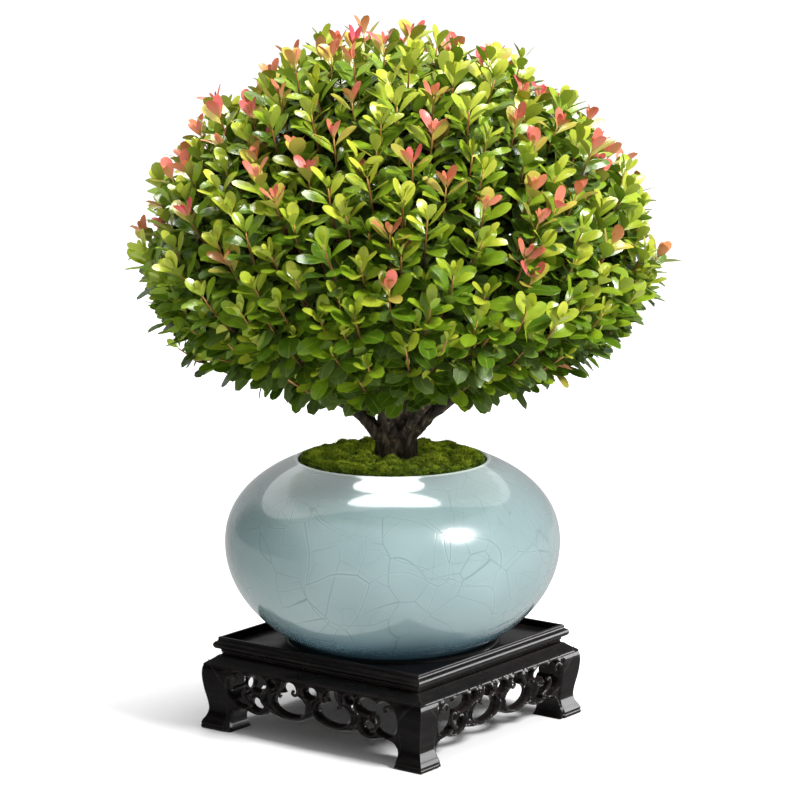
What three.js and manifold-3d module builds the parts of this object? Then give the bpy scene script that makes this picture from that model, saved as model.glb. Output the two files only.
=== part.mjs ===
// A box-leaved syzygium grown as a bonsai, in a squat globe pot on a square blackwood stand.
// Millimetres, +Z up. The origin is the middle of the stand's footprint, on the surface it stands on.
// The stand's sides run along X and Y: front is -Y, right is +X.

import * as THREE from 'three';
import { mergeVertices } from 'three/addons/utils/BufferGeometryUtils.js';
import Module from 'manifold-3d';

const wasm = await Module();
wasm.setup();

// Clearance between two pieces that meet
const GAP = 0.3;

// Stand: half-widths of the square plan, and heights
const RAIL_HALF = 80;
const RAIL_TOP = 58;
const RAIL_BOTTOM = 48.2;
const LIP_HALF = 75.5;
const LEDGE_HALF = 68;
const LEDGE_TOP = 50;
const PANEL_TOP = 54;
const BEAD_RADIUS = 65.6;
const BEAD_HALF_WIDTH = 1.6;
const BEAD_HEIGHT = 1.2;
const WAIST_HALF = 76.5;
const SHOULDER_TOP = 46.4;
const APRON_BACK = 76.9;
const LEG_WIDTH = 22.4;
const POST_TOP = 43.7;
const FOOT_HALF = 85.6;

// Pot: a globe of two half-ellipses with its widest point between them
const POT_RADIUS = 104.7;
const POT_WAIST = 116;
const POT_BOTTOM = PANEL_TOP + GAP;
const POT_TOP = 168.8;
const MOUTH_RADIUS = 58.4;
const WALL = 6;
const UPPER_RISE = 61.5;
const LOWER_DROP = 75.5;
const UPPER_ROUNDNESS = 2.2;
const DRAIN_RADIUS = 6;

// Planting
const TREE_X = 2.2;
const TREE_Y = 1.6;
const SOIL_TOP = 158;
const MOSS_TOP = 167;
const BOLE_RADIUS = 14;
const BOLE_DEPTH = 42;
const BOLE_SIDES = 16;
const FORK = 202;

// Crown: a dome, flatter below than above, that the tips of the leaves reach
const CROWN_RADIUS = 161;
const CROWN_MIDDLE = 287;
const CROWN_RISE = 146;
const CROWN_DROP = 92;
const CORE_SHARE = 0.845;
const HOLLOW_SHARE = 0.36;
const SEED_SHARE = 0.64;
const LOWER_HEADS = 8;
const UPPER_HEADS = 5;
const ROSETTES = 84;
const LEAF_LENGTH = 33;
const LEAF_WIDTH = 20.5;
const LEAF_THICKNESS = 0.8;
const ROOT_DEPTH = 7;

const WOOD = { color: 0x1c1a19, roughness: 0.35, metalness: 0 };
const GLAZE = { color: 0x9fb5b3, roughness: 0.15, metalness: 0 };
const EARTH = { color: 0x3a2c1f, roughness: 1, metalness: 0 };
const MOSS = { color: 0x5f7d1c, roughness: 0.95, metalness: 0 };
const BARK = { color: 0x3b3127, roughness: 0.9, metalness: 0 };
const LEAVES = { color: 0x5d7a1d, roughness: 0.45, metalness: 0 };

const part = new THREE.Group();

// Solids

// A closed geometry becomes a solid: shared vertices are merged, faces turned out.
function solidOf(geometry) {
  const bare = geometry.clone();
  bare.deleteAttribute('normal');
  bare.deleteAttribute('uv');
  const merged = mergeVertices(bare, 1e-4);
  const corner = (i) => new THREE.Vector3().fromBufferAttribute(merged.attributes.position, i);
  const triangles = [];
  let volume = 0;
  for (let i = 0; i < merged.index.count; i += 3) {
    const [a, b, c] = merged.index.array.slice(i, i + 3);
    if (a === b || b === c || c === a) continue;
    triangles.push([a, b, c]);
    volume += corner(a).dot(corner(b).cross(corner(c)));
  }
  const outward = volume > 0 ? triangles : triangles.map(([a, b, c]) => [a, c, b]);
  return new wasm.Manifold(new wasm.Mesh({
    numProp: 3,
    vertProperties: new Float32Array(merged.attributes.position.array),
    triVerts: new Uint32Array(outward.flat()),
  }));
}

function geometryOf(solid) {
  const { vertProperties, triVerts } = solid.getMesh();
  const geometry = new THREE.BufferGeometry();
  geometry.setAttribute('position', new THREE.BufferAttribute(vertProperties, 3));
  geometry.setIndex(new THREE.BufferAttribute(triVerts, 1));
  return geometry;
}

function addPiece(name, solid, look) {
  const mesh = new THREE.Mesh(geometryOf(solid), new THREE.MeshStandardMaterial(look));
  mesh.name = name;
  part.add(mesh);
}

const joined = (solids) => solids.reduce((whole, solid) => whole.add(solid));

// What is left of a solid when the scraps that a cut leaves loose are dropped
function mainBody(solid) {
  return solid.decompose().reduce((best, body) => (body.volume() > best.volume() ? body : best));
}

// A turned solid: each profile point is [radius, height], from axis to axis or closed on itself.
function turned(profile, segments) {
  const points = profile.map(([radius, height]) => new THREE.Vector2(radius, height));
  const onAxis = profile[0][0] === 0;
  if (!onAxis) points.push(points[0].clone());
  const lathe = new THREE.LatheGeometry(points, segments);
  lathe.rotateX(Math.PI / 2);
  return lathe;
}

// A ring of square plan: each profile point is [half-width, height].
function squareRing(profile) {
  const ring = turned(profile.map(([half, height]) => [half * Math.SQRT2, height]), 4);
  ring.rotateZ(Math.PI / 4);
  return solidOf(ring);
}

// An upright prism over a shape drawn in plan
function upright(shape, bottom, top) {
  const prism = new THREE.ExtrudeGeometry(shape, { depth: top - bottom, bevelEnabled: false });
  prism.translate(0, 0, bottom);
  return prism;
}

// A prism over a shape drawn on the front face of the stand, running back from y = front
function throughFront(shape, front, back) {
  const prism = new THREE.ExtrudeGeometry(shape, { depth: back - front, bevelEnabled: false });
  prism.rotateX(Math.PI / 2);
  prism.translate(0, back, 0);
  return prism;
}

const polygon = (points) => new THREE.Shape(points.map(([x, y]) => new THREE.Vector2(x, y)));

const SIDES = ['front', 'right', 'back', 'left'];
const turnedTo = (geometry, side) => solidOf(geometry.clone().rotateZ(side * Math.PI / 2));

// One mitred quarter of the stand in plan, on the front side
function quarter(clearance) {
  const reach = 120;
  const outline = polygon([[0, -clearance], [reach - clearance, -reach], [clearance - reach, -reach]]);
  return upright(outline, -1, RAIL_TOP + 1);
}

// Stand

// Four mitred rails: a lip, a cove, a bead and a second cove, with a ledge for the panel inside
function makeRails() {
  const ring = squareRing([
    [LIP_HALF, RAIL_TOP], [LIP_HALF + 1.5, RAIL_TOP], [LIP_HALF + 1.8, RAIL_TOP - 1.2],
    [RAIL_HALF - 1.5, RAIL_TOP - 2.4], [RAIL_HALF - 0.5, RAIL_TOP - 3.2], [RAIL_HALF, RAIL_TOP - 4.8],
    [RAIL_HALF - 0.5, RAIL_TOP - 6.7], [RAIL_HALF - 2.4, RAIL_TOP - 7.8],
    [RAIL_HALF - 3.7, RAIL_BOTTOM], [LEDGE_HALF, RAIL_BOTTOM], [LEDGE_HALF, LEDGE_TOP],
    [LIP_HALF, LEDGE_TOP],
  ]);
  SIDES.forEach((name, side) => {
    addPiece(`top_rail_${name}`, ring.intersect(turnedTo(quarter(GAP), side)), WOOD);
  });
}

// The tray panel with its raised round bead
function makePanel() {
  const half = LIP_HALF - GAP;
  const bottom = LEDGE_TOP + GAP;
  const board = new THREE.BoxGeometry(2 * half, 2 * half, PANEL_TOP - bottom);
  board.translate(0, 0, (PANEL_TOP + bottom) / 2);
  const bead = turned([
    [BEAD_RADIUS - BEAD_HALF_WIDTH, PANEL_TOP - 1], [BEAD_RADIUS + BEAD_HALF_WIDTH, PANEL_TOP - 1],
    [BEAD_RADIUS + BEAD_HALF_WIDTH / 3, PANEL_TOP + BEAD_HEIGHT],
    [BEAD_RADIUS - BEAD_HALF_WIDTH / 3, PANEL_TOP + BEAD_HEIGHT],
  ], 36);
  addPiece('tray_panel', solidOf(board).add(solidOf(bead)), WOOD);
}

// The sunk waist between the rails and the aprons, four mitred bars on the posts of the legs
function makeWaist() {
  const ring = squareRing([
    [WAIST_HALF, POST_TOP + GAP], [WAIST_HALF, RAIL_BOTTOM - GAP],
    [FOOT_HALF - LEG_WIDTH, RAIL_BOTTOM - GAP], [FOOT_HALF - LEG_WIDTH, POST_TOP + GAP],
  ]);
  SIDES.forEach((name, side) => {
    addPiece(`waist_${name}`, ring.intersect(turnedTo(quarter(GAP), side)), WOOD);
  });
}

// The bellied outside of aprons and legs in one ring, with a shoulder above and a flared foot
function makeSkirt() {
  return squareRing([
    [APRON_BACK, SHOULDER_TOP], [77.6, SHOULDER_TOP], [84, 41.6], [85.2, 33],
    [81.8, 12.5], [83, 8], [FOOT_HALF, 4.5], [FOOT_HALF - 0.3, 0],
    [APRON_BACK, 0], [APRON_BACK, 12.5], [80, 41], [APRON_BACK, 43],
  ]);
}

// The open arch between two legs: half of its edge, from the middle cusp along a large lobe and a
// small lobe of the apron, then down the hollow of the leg to its foot
function makeArch() {
  const foot = FOOT_HALF - LEG_WIDTH;
  const ankle = foot + 1.9;
  const largeLobe = 14.5;
  const smallLobe = 13.4;
  const edge = new THREE.Path();
  edge.moveTo(0, 20);
  edge.quadraticCurveTo(8.5, largeLobe, 17, largeLobe);
  edge.quadraticCurveTo(25.5, largeLobe, 34, 17);
  edge.quadraticCurveTo(39, smallLobe, 44, smallLobe);
  edge.quadraticCurveTo(49, smallLobe, 54, 16);
  edge.bezierCurveTo(60.5, 15.5, ankle, 11.5, ankle, 7);
  edge.quadraticCurveTo(ankle, 2.5, foot, 0);
  edge.lineTo(foot, -1);
  const half = edge.getPoints(3);
  const mirrored = half.slice(1).reverse().map((p) => new THREE.Vector2(-p.x, p.y));
  return new THREE.Shape([...mirrored, ...half]);
}

// The openwork of one apron: ovals [across, height, half-width, half-height, sides], mirrored
// about the middle. Two of them run together where a scroll curls into an opening.
const OVALS = [
  [17, 25.5, 12.6, 7, 12], [17, 35, 5.6, 4, 8],
  [56, 28.5, 9.3, 10.3, 10], [43, 34.8, 8, 4.2, 8],
  [43.5, 21.3, 4.8, 3.6, 6], [30.4, 36.8, 2.6, 1.7, 4], [0, 35.6, 4.6, 2.8, 6],
];

function ovalShape([across, height, halfWidth, halfHeight, sides]) {
  const oval = new THREE.EllipseCurve(across, height, halfWidth, halfHeight, 0, 2 * Math.PI);
  return new THREE.Shape(oval.getPoints(sides).slice(0, -1));
}

// Everything that is cut from the skirt as seen square on, through front and back at once
function makePiercing() {
  const reach = FOOT_HALF + 2;
  const mirrored = OVALS.filter(([across]) => across > 0).map(([across, ...rest]) => [-across, ...rest]);
  const shapes = [makeArch(), ...[...OVALS, ...mirrored].map(ovalShape)];
  return shapes.map((shape) => throughFront(shape, -reach, reach));
}

// The front apron's zone: up to a joint that stands upright below and slopes at 45 degrees above,
// so that apron and leg meet in a mitred shoulder
function apronZone(clearance) {
  const half = FOOT_HALF - LEG_WIDTH - 1 - clearance;
  const turn = 24;
  const rise = 26;
  const outline = polygon([
    [half, -1], [half, turn], [half + rise, turn + rise],
    [-half - rise, turn + rise], [-half, turn], [-half, -1],
  ]);
  return solidOf(throughFront(outline, -FOOT_HALF - 2, GAP - APRON_BACK - clearance))
    .intersect(solidOf(quarter(clearance)));
}

function makeLegsAndAprons() {
  const piercing = makePiercing();
  const acrossBoth = [0, 1].flatMap((side) => piercing.map((prism) => turnedTo(prism, side)));
  const openings = joined(acrossBoth);
  const skirt = makeSkirt();
  const aprons = skirt.subtract(openings);
  const thickness = LEG_WIDTH - 5;
  const place = FOOT_HALF - LEG_WIDTH + thickness / 2;
  const posts = SIDES.map((name, side) => {
    const post = new THREE.BoxGeometry(thickness, thickness, POST_TOP);
    post.translate(place, -place, POST_TOP / 2);
    return turnedTo(post, side);
  });
  const zone = geometryOf(apronZone(0));
  const inset = geometryOf(apronZone(GAP));
  const zones = joined(SIDES.map((name, side) => turnedTo(zone, side)));
  const legs = joined([skirt, ...posts]).subtract(openings).subtract(zones);
  SIDES.forEach((name, side) => {
    addPiece(`apron_${name}`, mainBody(aprons.intersect(turnedTo(inset, side))), WOOD);
  });
  const corner = new THREE.BoxGeometry(FOOT_HALF + 5, FOOT_HALF + 5, 2 * RAIL_TOP);
  corner.translate(FOOT_HALF / 2 + 3, -FOOT_HALF / 2 - 3, RAIL_TOP - 1);
  ['front_right', 'back_right', 'back_left', 'front_left'].forEach((name, side) => {
    addPiece(`leg_${name}`, mainBody(legs.intersect(turnedTo(corner, side))), WOOD);
  });
}

// Pot, soil and moss

// The globe's radius at a height, for its outside (inset 0) or its inside (inset = wall)
function globeRadius(height, inset) {
  const above = height > POT_WAIST;
  const semiAxis = (above ? UPPER_RISE : LOWER_DROP) - inset;
  const roundness = above ? UPPER_ROUNDNESS : 2;
  const share = Math.min(1, Math.abs(height - POT_WAIST) / semiAxis);
  return (POT_RADIUS - inset) * (1 - share ** roundness) ** (1 / roundness);
}

const globeProfile = (heights, inset) => heights.map((z) => [globeRadius(z, inset), z]);

const POT_SEGMENTS = 30;
const POT_FLOOR = 63;
const FLOOR_RADIUS = 60;
const INSIDE_LEVELS = [84, 116, 140, SOIL_TOP];

function makePot() {
  const foot = 60;
  const outside = globeProfile([56.5, 64, 77, 96, 116, 136, 152, 163.5], 0);
  const inside = globeProfile([...INSIDE_LEVELS].reverse(), WALL);
  addPiece('pot', solidOf(turned([
    [DRAIN_RADIUS, 57.5], [foot - 8, 57.5], [foot - 7, POT_BOTTOM], [foot, POT_BOTTOM],
    ...outside, [MOUTH_RADIUS + 2.6, POT_TOP - 0.6], [MOUTH_RADIUS + 1.4, POT_TOP],
    [MOUTH_RADIUS, POT_TOP - 0.6], [MOUTH_RADIUS, 162.5],
    ...inside, [FLOOR_RADIUS, POT_FLOOR], [DRAIN_RADIUS, POT_FLOOR],
  ], POT_SEGMENTS)), GLAZE);
}

// A plain round hole for the base of the trunk
function trunkHole() {
  const radius = BOLE_RADIUS + 2 * GAP;
  const hole = new THREE.CylinderGeometry(radius, radius, 2 * BOLE_DEPTH, BOLE_SIDES);
  hole.rotateX(Math.PI / 2);
  hole.translate(TREE_X, TREE_Y, MOSS_TOP);
  return solidOf(hole);
}

function makeSoil() {
  const outside = globeProfile(INSIDE_LEVELS, WALL).map(([radius, z]) => [radius - 2 * GAP, z]);
  const bottom = POT_FLOOR + GAP;
  const profile = [[0, bottom], [FLOOR_RADIUS - 2 * GAP, bottom], ...outside, [0, SOIL_TOP]];
  addPiece('soil', solidOf(turned(profile, POT_SEGMENTS)).subtract(trunkHole()), EARTH);
}

// Height that the cushions of moss add at a place
function mossLump(x, y) {
  const cushions = Math.sin(x / 6.1 + 1) * Math.cos(y / 5.3) + 0.7 * Math.sin((x + y) / 3.9);
  return 1.3 * cushions + 0.02 * (x + y);
}

function makeMoss() {
  const edge = MOUTH_RADIUS - 2 * GAP;
  const rings = [edge - 1.2, 45, 31, 21];
  const top = rings.map((radius) => [radius, MOSS_TOP]);
  const cushion = turned([
    [0, SOIL_TOP + GAP], [edge, SOIL_TOP + GAP], [edge, MOSS_TOP - 2], ...top, [0, MOSS_TOP],
  ], POT_SEGMENTS);
  const place = cushion.attributes.position;
  for (let i = 0; i < place.count; i += 1) {
    const z = place.getZ(i);
    if (z > MOSS_TOP - 1) place.setZ(i, z + mossLump(place.getX(i), place.getY(i)));
  }
  addPiece('moss', solidOf(cushion).subtract(trunkHole()), MOSS);
}

// Tree

// A draw between 0 and 1 that is always the same for the same number
function draw(number) {
  const wide = Math.sin(number * 12.9898) * 43758.5453;
  return wide - Math.floor(wide);
}

const spread = (number, width) => (draw(number) - 0.5) * 2 * width;

const CROWN_CENTRE = new THREE.Vector3(TREE_X, TREE_Y, CROWN_MIDDLE);
const GOLDEN_TURN = Math.PI * (3 - Math.sqrt(5));

// A place in the crown from a direction on the unit ball and a share of the way out
function crownPlace(direction, share) {
  const tall = direction.z > 0 ? CROWN_RISE : CROWN_DROP;
  const size = new THREE.Vector3(CROWN_RADIUS, CROWN_RADIUS, tall);
  return direction.clone().multiply(size).multiplyScalar(share).add(CROWN_CENTRE);
}

// How far out a point lies, as a share of the crown: 1 is the dome that the tips reach
function crownShare(point) {
  const from = point.clone().sub(CROWN_CENTRE);
  const tall = from.z > 0 ? CROWN_RISE : CROWN_DROP;
  return Math.hypot(from.x / CROWN_RADIUS, from.y / CROWN_RADIUS, from.z / tall);
}

function unitDirection(azimuth, elevation) {
  const flat = Math.cos(elevation);
  return new THREE.Vector3(flat * Math.cos(azimuth), flat * Math.sin(azimuth), Math.sin(elevation));
}

// The heads: a lower ring, an upper ring and the leader, each around a middle of its own
function makeHeads() {
  const degrees = THREE.MathUtils.degToRad;
  const places = [unitDirection(0, degrees(90))];
  for (let i = 0; i < UPPER_HEADS; i += 1) {
    const azimuth = (360 * i) / UPPER_HEADS + 20 + spread(i + 1, 7);
    places.push(unitDirection(degrees(azimuth), degrees(36 + spread(i + 30, 4))));
  }
  for (let i = 0; i < LOWER_HEADS; i += 1) {
    const azimuth = (360 * i) / LOWER_HEADS + spread(i + 60, 6);
    places.push(unitDirection(degrees(azimuth), degrees(-14 + spread(i + 90, 5))));
  }
  return places.map((direction) => crownPlace(direction, SEED_SHARE));
}

const HEADS = makeHeads();

// The planes half-way to every other head, which a head stays inside
function wallsOf(middle) {
  return HEADS.filter((other) => other !== middle).map((other) => {
    const normal = other.clone().sub(middle).normalize();
    const half = middle.clone().add(other).multiplyScalar(0.5);
    return new THREE.Plane().setFromNormalAndCoplanarPoint(normal, half);
  });
}

const WALLS = new Map(HEADS.map((middle) => [middle, wallsOf(middle)]));

const isInside = (point, middle, margin) => (
  WALLS.get(middle).every((wall) => wall.distanceToPoint(point) < -margin)
);

// How far a head's twiggy core reaches from its middle in a direction: out to the dome that the
// leaves stand on, aside to its walls, and in to the open middle of the crown
function coreReach(middle, direction) {
  const longest = 62;
  const step = 0.5;
  let reach = 0;
  while (reach < longest) {
    const point = middle.clone().addScaledVector(direction, reach + step);
    const share = crownShare(point);
    if (share > CORE_SHARE || share < HOLLOW_SHARE || !isInside(point, middle, GAP)) return reach;
    reach += step;
  }
  return longest;
}

// The core: a coarse ball drawn out to that reach, uneven as a mass of twigs is
function makeCore(middle) {
  const unevenness = 4;
  const ball = new THREE.IcosahedronGeometry(1, 1);
  ball.deleteAttribute('normal');
  ball.deleteAttribute('uv');
  const core = mergeVertices(ball);
  const place = core.attributes.position;
  for (let i = 0; i < place.count; i += 1) {
    const direction = new THREE.Vector3().fromBufferAttribute(place, i).normalize();
    const reach = coreReach(middle, direction) - unevenness * draw(i + middle.x);
    const point = middle.clone().addScaledVector(direction, reach);
    place.setXYZ(i, point.x, point.y, point.z);
  }
  return solidOf(core);
}

// A loft through rings of points with a cap at each end
function loft(rings) {
  const sides = rings[0].length;
  const points = rings.flat();
  const faces = [];
  for (let r = 0; r < rings.length - 1; r += 1) {
    for (let s = 0; s < sides; s += 1) {
      const a = r * sides + s;
      const b = r * sides + ((s + 1) % sides);
      faces.push(a, b, b + sides, a, b + sides, a + sides);
    }
  }
  const last = (rings.length - 1) * sides;
  for (let s = 1; s < sides - 1; s += 1) {
    faces.push(0, s + 1, s, last, last + s, last + s + 1);
  }
  const geometry = new THREE.BufferGeometry().setFromPoints(points);
  geometry.setIndex(faces);
  return geometry;
}

// A tapered limb along a smooth path
function limb(path, thick, thin, steps, sides) {
  const curve = new THREE.CatmullRomCurve3(path);
  const frames = curve.computeFrenetFrames(steps);
  const rings = [];
  for (let r = 0; r <= steps; r += 1) {
    const along = r / steps;
    const radius = THREE.MathUtils.lerp(thick, thin, along);
    const centre = curve.getPointAt(along);
    rings.push(Array.from({ length: sides }, (unused, s) => {
      const turn = (2 * Math.PI * s) / sides;
      return centre.clone()
        .addScaledVector(frames.normals[r], radius * Math.cos(turn))
        .addScaledVector(frames.binormals[r], radius * Math.sin(turn));
    }));
  }
  return solidOf(loft(rings));
}

// The bole: round where it stands in the soil, fluted by the root flare above
function makeBole(growth) {
  const levels = [
    [MOSS_TOP - BOLE_DEPTH + 1, 13, 0], [MOSS_TOP - 8, BOLE_RADIUS, 0], [MOSS_TOP + 3, BOLE_RADIUS, 0.02],
    [MOSS_TOP + 9, 12.6, 0.09], [MOSS_TOP + 18, 11.6, 0.1], [MOSS_TOP + 27, 11.8, 0.08],
    [FORK, 9.5, 0.05], [FORK + 8, 5, 0],
  ];
  const rings = levels.map(([height, radius, flute]) => (
    Array.from({ length: BOLE_SIDES }, (unused, s) => {
      const turn = (2 * Math.PI * s) / BOLE_SIDES;
      const out = (radius + growth) * (1 + flute * Math.sin(5 * turn + height / 20));
      return new THREE.Vector3(TREE_X + out * Math.cos(turn), TREE_Y + out * Math.sin(turn), height);
    })
  ));
  return solidOf(loft(rings));
}

// Each limb leaves the bole near the fork, rises inside the crown and ends in its head
function makeTree(growth) {
  const limbs = HEADS.map((middle, i) => {
    const away = middle.clone().sub(CROWN_CENTRE).setZ(0);
    const reach = away.length();
    away.normalize();
    const start = new THREE.Vector3(TREE_X, TREE_Y, FORK - 16 + 3 * (i % 5));
    const low = start.clone().addScaledVector(away, 9).setZ(start.z + 13);
    const inner = new THREE.Vector3(TREE_X, TREE_Y, THREE.MathUtils.lerp(low.z, middle.z, 0.62));
    inner.addScaledVector(away, 0.46 * reach);
    const tip = inner.clone().lerp(middle, 0.85);
    tip.addScaledVector(tip.clone().sub(inner).normalize(), growth);
    return limb([start, low, inner, tip], 6.4 + growth, 3 + growth, 4, 5);
  });
  return joined([makeBole(growth), ...limbs]);
}

// A leaf: a thin obovate blade, cupped a little and curved back towards its tip. Both faces are
// split into triangles alike, with a single one at the root.
function makeLeaf(root, along, facing, length, width) {
  const across = along.clone().cross(facing).normalize();
  const up = across.clone().cross(along).normalize();
  const outline = [[0, 0], [0.6, 0.46], [1, 0.24], [1, -0.24], [0.6, -0.46]];
  const corners = outline.length;
  const sheet = outline.map(([share, side]) => root.clone()
    .addScaledVector(along, share * length)
    .addScaledVector(across, side * width)
    .addScaledVector(up, 0.25 * Math.abs(side) * width - 0.12 * share * share * length));
  const half = LEAF_THICKNESS / 2;
  const points = [half, -half].flatMap((lift) => sheet.map((p) => p.clone().addScaledVector(up, lift)));
  const split = [[0, 1, 4], [1, 2, 4], [2, 3, 4]];
  const faces = split.flatMap(([a, b, c]) => [a, b, c, a + corners, c + corners, b + corners]);
  for (let i = 0; i < corners; i += 1) {
    const next = (i + 1) % corners;
    faces.push(i, i + corners, next + corners, i, next + corners, next);
  }
  const geometry = new THREE.BufferGeometry().setFromPoints(points);
  geometry.setIndex(faces);
  return { geometry, points };
}

// The nearest place to a point that keeps a margin inside a head's walls
function movedInside(point, middle, margin) {
  const place = point.clone();
  WALLS.get(middle).forEach((wall) => {
    const over = wall.distanceToPoint(place) + margin;
    if (over > 0) place.addScaledVector(wall.normal, -over);
  });
  return place;
}

// A leaf that would cross into the next head is bent towards its own head's middle line.
function fittedLeaf(root, along, facing, middle, length, width) {
  const home = root.clone().sub(middle).normalize();
  for (let bend = 0; bend < 0.9; bend += 0.12) {
    const bent = along.clone().lerp(home, bend).normalize();
    const leaf = makeLeaf(root, bent, facing, length, width);
    if (leaf.points.every((point) => isInside(point, middle, GAP))) return [solidOf(leaf.geometry)];
  }
  return [];
}

// A rosette: two crossed pairs of leaves, the lower pair spread wide and the upper pair steeper
function makeRosette(number, surface, middle) {
  const outward = surface.clone().sub(CROWN_CENTRE).multiply(new THREE.Vector3(1, 1, 1.25)).normalize();
  const axis = outward.clone().add(new THREE.Vector3(0, 0, 0.2)).normalize();
  const root = surface.clone().addScaledVector(surface.clone().sub(middle).normalize(), -ROOT_DEPTH);
  const aside = axis.clone().cross(new THREE.Vector3(0.3, 0.2, 1)).normalize();
  aside.applyAxisAngle(axis, 2 * Math.PI * draw(number + 200));
  return [0, 1, 2, 3].flatMap((leaf) => {
    const lean = (leaf % 2 === 0 ? 1.16 : 0.7) + spread(7 * number + leaf, 0.12);
    const side = aside.clone().applyAxisAngle(axis, (Math.PI / 2) * leaf + spread(5 * number + leaf, 0.3));
    const along = axis.clone().multiplyScalar(Math.cos(lean)).addScaledVector(side, Math.sin(lean));
    const size = 1 + spread(3 * number + leaf, 0.1);
    return fittedLeaf(root, along, axis, middle, size * (LEAF_LENGTH + ROOT_DEPTH), size * LEAF_WIDTH);
  });
}

// Rosettes stand evenly over the whole crown, on the head that is nearest to each.
function makeFoliage() {
  const leaves = new Map(HEADS.map((middle) => [middle, []]));
  const lowest = -0.86;
  for (let i = 0; i < ROSETTES; i += 1) {
    const height = 1 - ((1 - lowest) * (i + 0.5)) / ROSETTES;
    const direction = unitDirection(GOLDEN_TURN * i, Math.asin(height));
    const wanted = crownPlace(direction, CORE_SHARE);
    const middle = HEADS.reduce((a, b) => (a.distanceTo(wanted) < b.distanceTo(wanted) ? a : b));
    const place = movedInside(wanted, middle, 5);
    const ray = place.sub(middle).normalize();
    const surface = middle.clone().addScaledVector(ray, coreReach(middle, ray));
    leaves.get(middle).push(...makeRosette(i, surface, middle));
  }
  return leaves;
}

function makeCrown() {
  const clearance = makeTree(2 * GAP);
  const leaves = makeFoliage();
  HEADS.forEach((middle, i) => {
    const head = joined([makeCore(middle), ...leaves.get(middle)]).subtract(clearance);
    const number = String(i + 1).padStart(2, '0');
    addPiece(`leafy_branch_${number}`, mainBody(head), LEAVES);
  });
}

makeRails();
makePanel();
makeWaist();
makeLegsAndAprons();
makePot();
makeSoil();
makeMoss();
addPiece('trunk_and_limbs', makeTree(0), BARK);
makeCrown();

export default part;
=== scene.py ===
# %% [markdown]
# # A box-leaved syzygium in a crackled celadon globe, on a pierced blackwood stand
# The solids of the part come first, as a fixed frame. Each lesson below takes one piece of it, says
# what the piece is on the real object, and replaces its plain solid with a finer one.

# %% Load the frame
import math

import bmesh
import bpy
import numpy as np
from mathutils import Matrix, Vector, noise
from mathutils.geometry import delaunay_2d_cdt


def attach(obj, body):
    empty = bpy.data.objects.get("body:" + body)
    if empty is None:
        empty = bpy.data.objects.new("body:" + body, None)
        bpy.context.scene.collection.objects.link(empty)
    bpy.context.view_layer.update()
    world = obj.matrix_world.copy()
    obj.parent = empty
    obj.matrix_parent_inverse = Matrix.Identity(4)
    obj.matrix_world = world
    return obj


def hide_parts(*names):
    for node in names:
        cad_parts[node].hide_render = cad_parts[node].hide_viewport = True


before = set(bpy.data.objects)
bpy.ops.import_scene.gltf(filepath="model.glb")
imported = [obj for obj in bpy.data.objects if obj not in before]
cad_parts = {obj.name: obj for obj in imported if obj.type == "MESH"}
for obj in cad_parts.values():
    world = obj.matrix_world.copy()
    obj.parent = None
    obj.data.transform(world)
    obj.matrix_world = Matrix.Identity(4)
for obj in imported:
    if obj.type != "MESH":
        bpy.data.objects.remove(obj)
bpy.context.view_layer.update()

# %% [markdown]
# ## The view
# The stand is seen a little from the right and from above, with hardly any perspective. A long lens
# two metres away gives that. The camera could be turned by three angles, but a quaternion that points
# it at its aim lets no roll creep in.

# %% The camera
MM = 0.001
AZIMUTH = math.radians(36.8)
ELEVATION = math.radians(10.2)
DISTANCE = 2.0
AIM_HEIGHT = 0.205
AIM_ASIDE = 0.00467

back = Vector((
    math.sin(AZIMUTH) * math.cos(ELEVATION),
    -math.cos(AZIMUTH) * math.cos(ELEVATION),
    math.sin(ELEVATION),
))
right = Vector((math.cos(AZIMUTH), math.sin(AZIMUTH), 0))
aim = Vector((0, 0, AIM_HEIGHT)) + right * AIM_ASIDE

scene = bpy.context.scene
camera = bpy.data.objects.new("camera", bpy.data.cameras.new("camera"))
camera.data.lens = 145.2
camera.data.sensor_width = 36
camera.location = aim + back * DISTANCE
camera.rotation_mode = "QUATERNION"
camera.rotation_quaternion = (-back).to_track_quat("-Z", "Y")
scene.collection.objects.link(camera)
scene.camera = camera
scene.view_settings.view_transform = "Standard"
print("camera at", [round(value, 3) for value in camera.location])

# %% [markdown]
# ## Small helpers for materials
# Every finish is a tree of nodes. It could be wired by hand in the shader editor, but a script wires
# it the same way on every run. One helper adds a node and fills its sockets, with a number or with
# another node's output, one opens a new material with its Principled shader, and the others stand for
# a few nodes that come up often.

# %% Helpers for node trees
def fill_sockets(tree, node, sockets):
    """Gives each socket, named or numbered, a value or another node's output."""
    for socket, value in sockets.items():
        if isinstance(value, bpy.types.NodeSocket):
            tree.links.new(value, node.inputs[socket])
        else:
            node.inputs[socket].default_value = value


def put(tree, kind, sockets=None, **settings):
    """Adds a node to a tree, with its settings and its sockets."""
    node = tree.nodes.new(kind)
    for setting, value in settings.items():
        setattr(node, setting, value)
    fill_sockets(tree, node, sockets or {})
    return node


def combined(tree, operation, *values):
    """One step of arithmetic on sockets and numbers."""
    return put(tree, "ShaderNodeMath", dict(enumerate(values)), operation=operation).outputs[0]


def shifted(tree, operation, vector, by):
    """One step of vector arithmetic. SCALE takes a number, and the others take a vector."""
    socket = "Scale" if operation == "SCALE" else 1
    return put(tree, "ShaderNodeVectorMath", {0: vector, socket: by}, operation=operation).outputs[0]


def band(tree, value, start, end, low=0.0, high=1.0):
    """A smooth change from low at start to high at end."""
    return put(tree, "ShaderNodeMapRange", {
        "Value": value, "From Min": start, "From Max": end, "To Min": low, "To Max": high,
    }, interpolation_type="SMOOTHSTEP").outputs["Result"]


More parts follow.
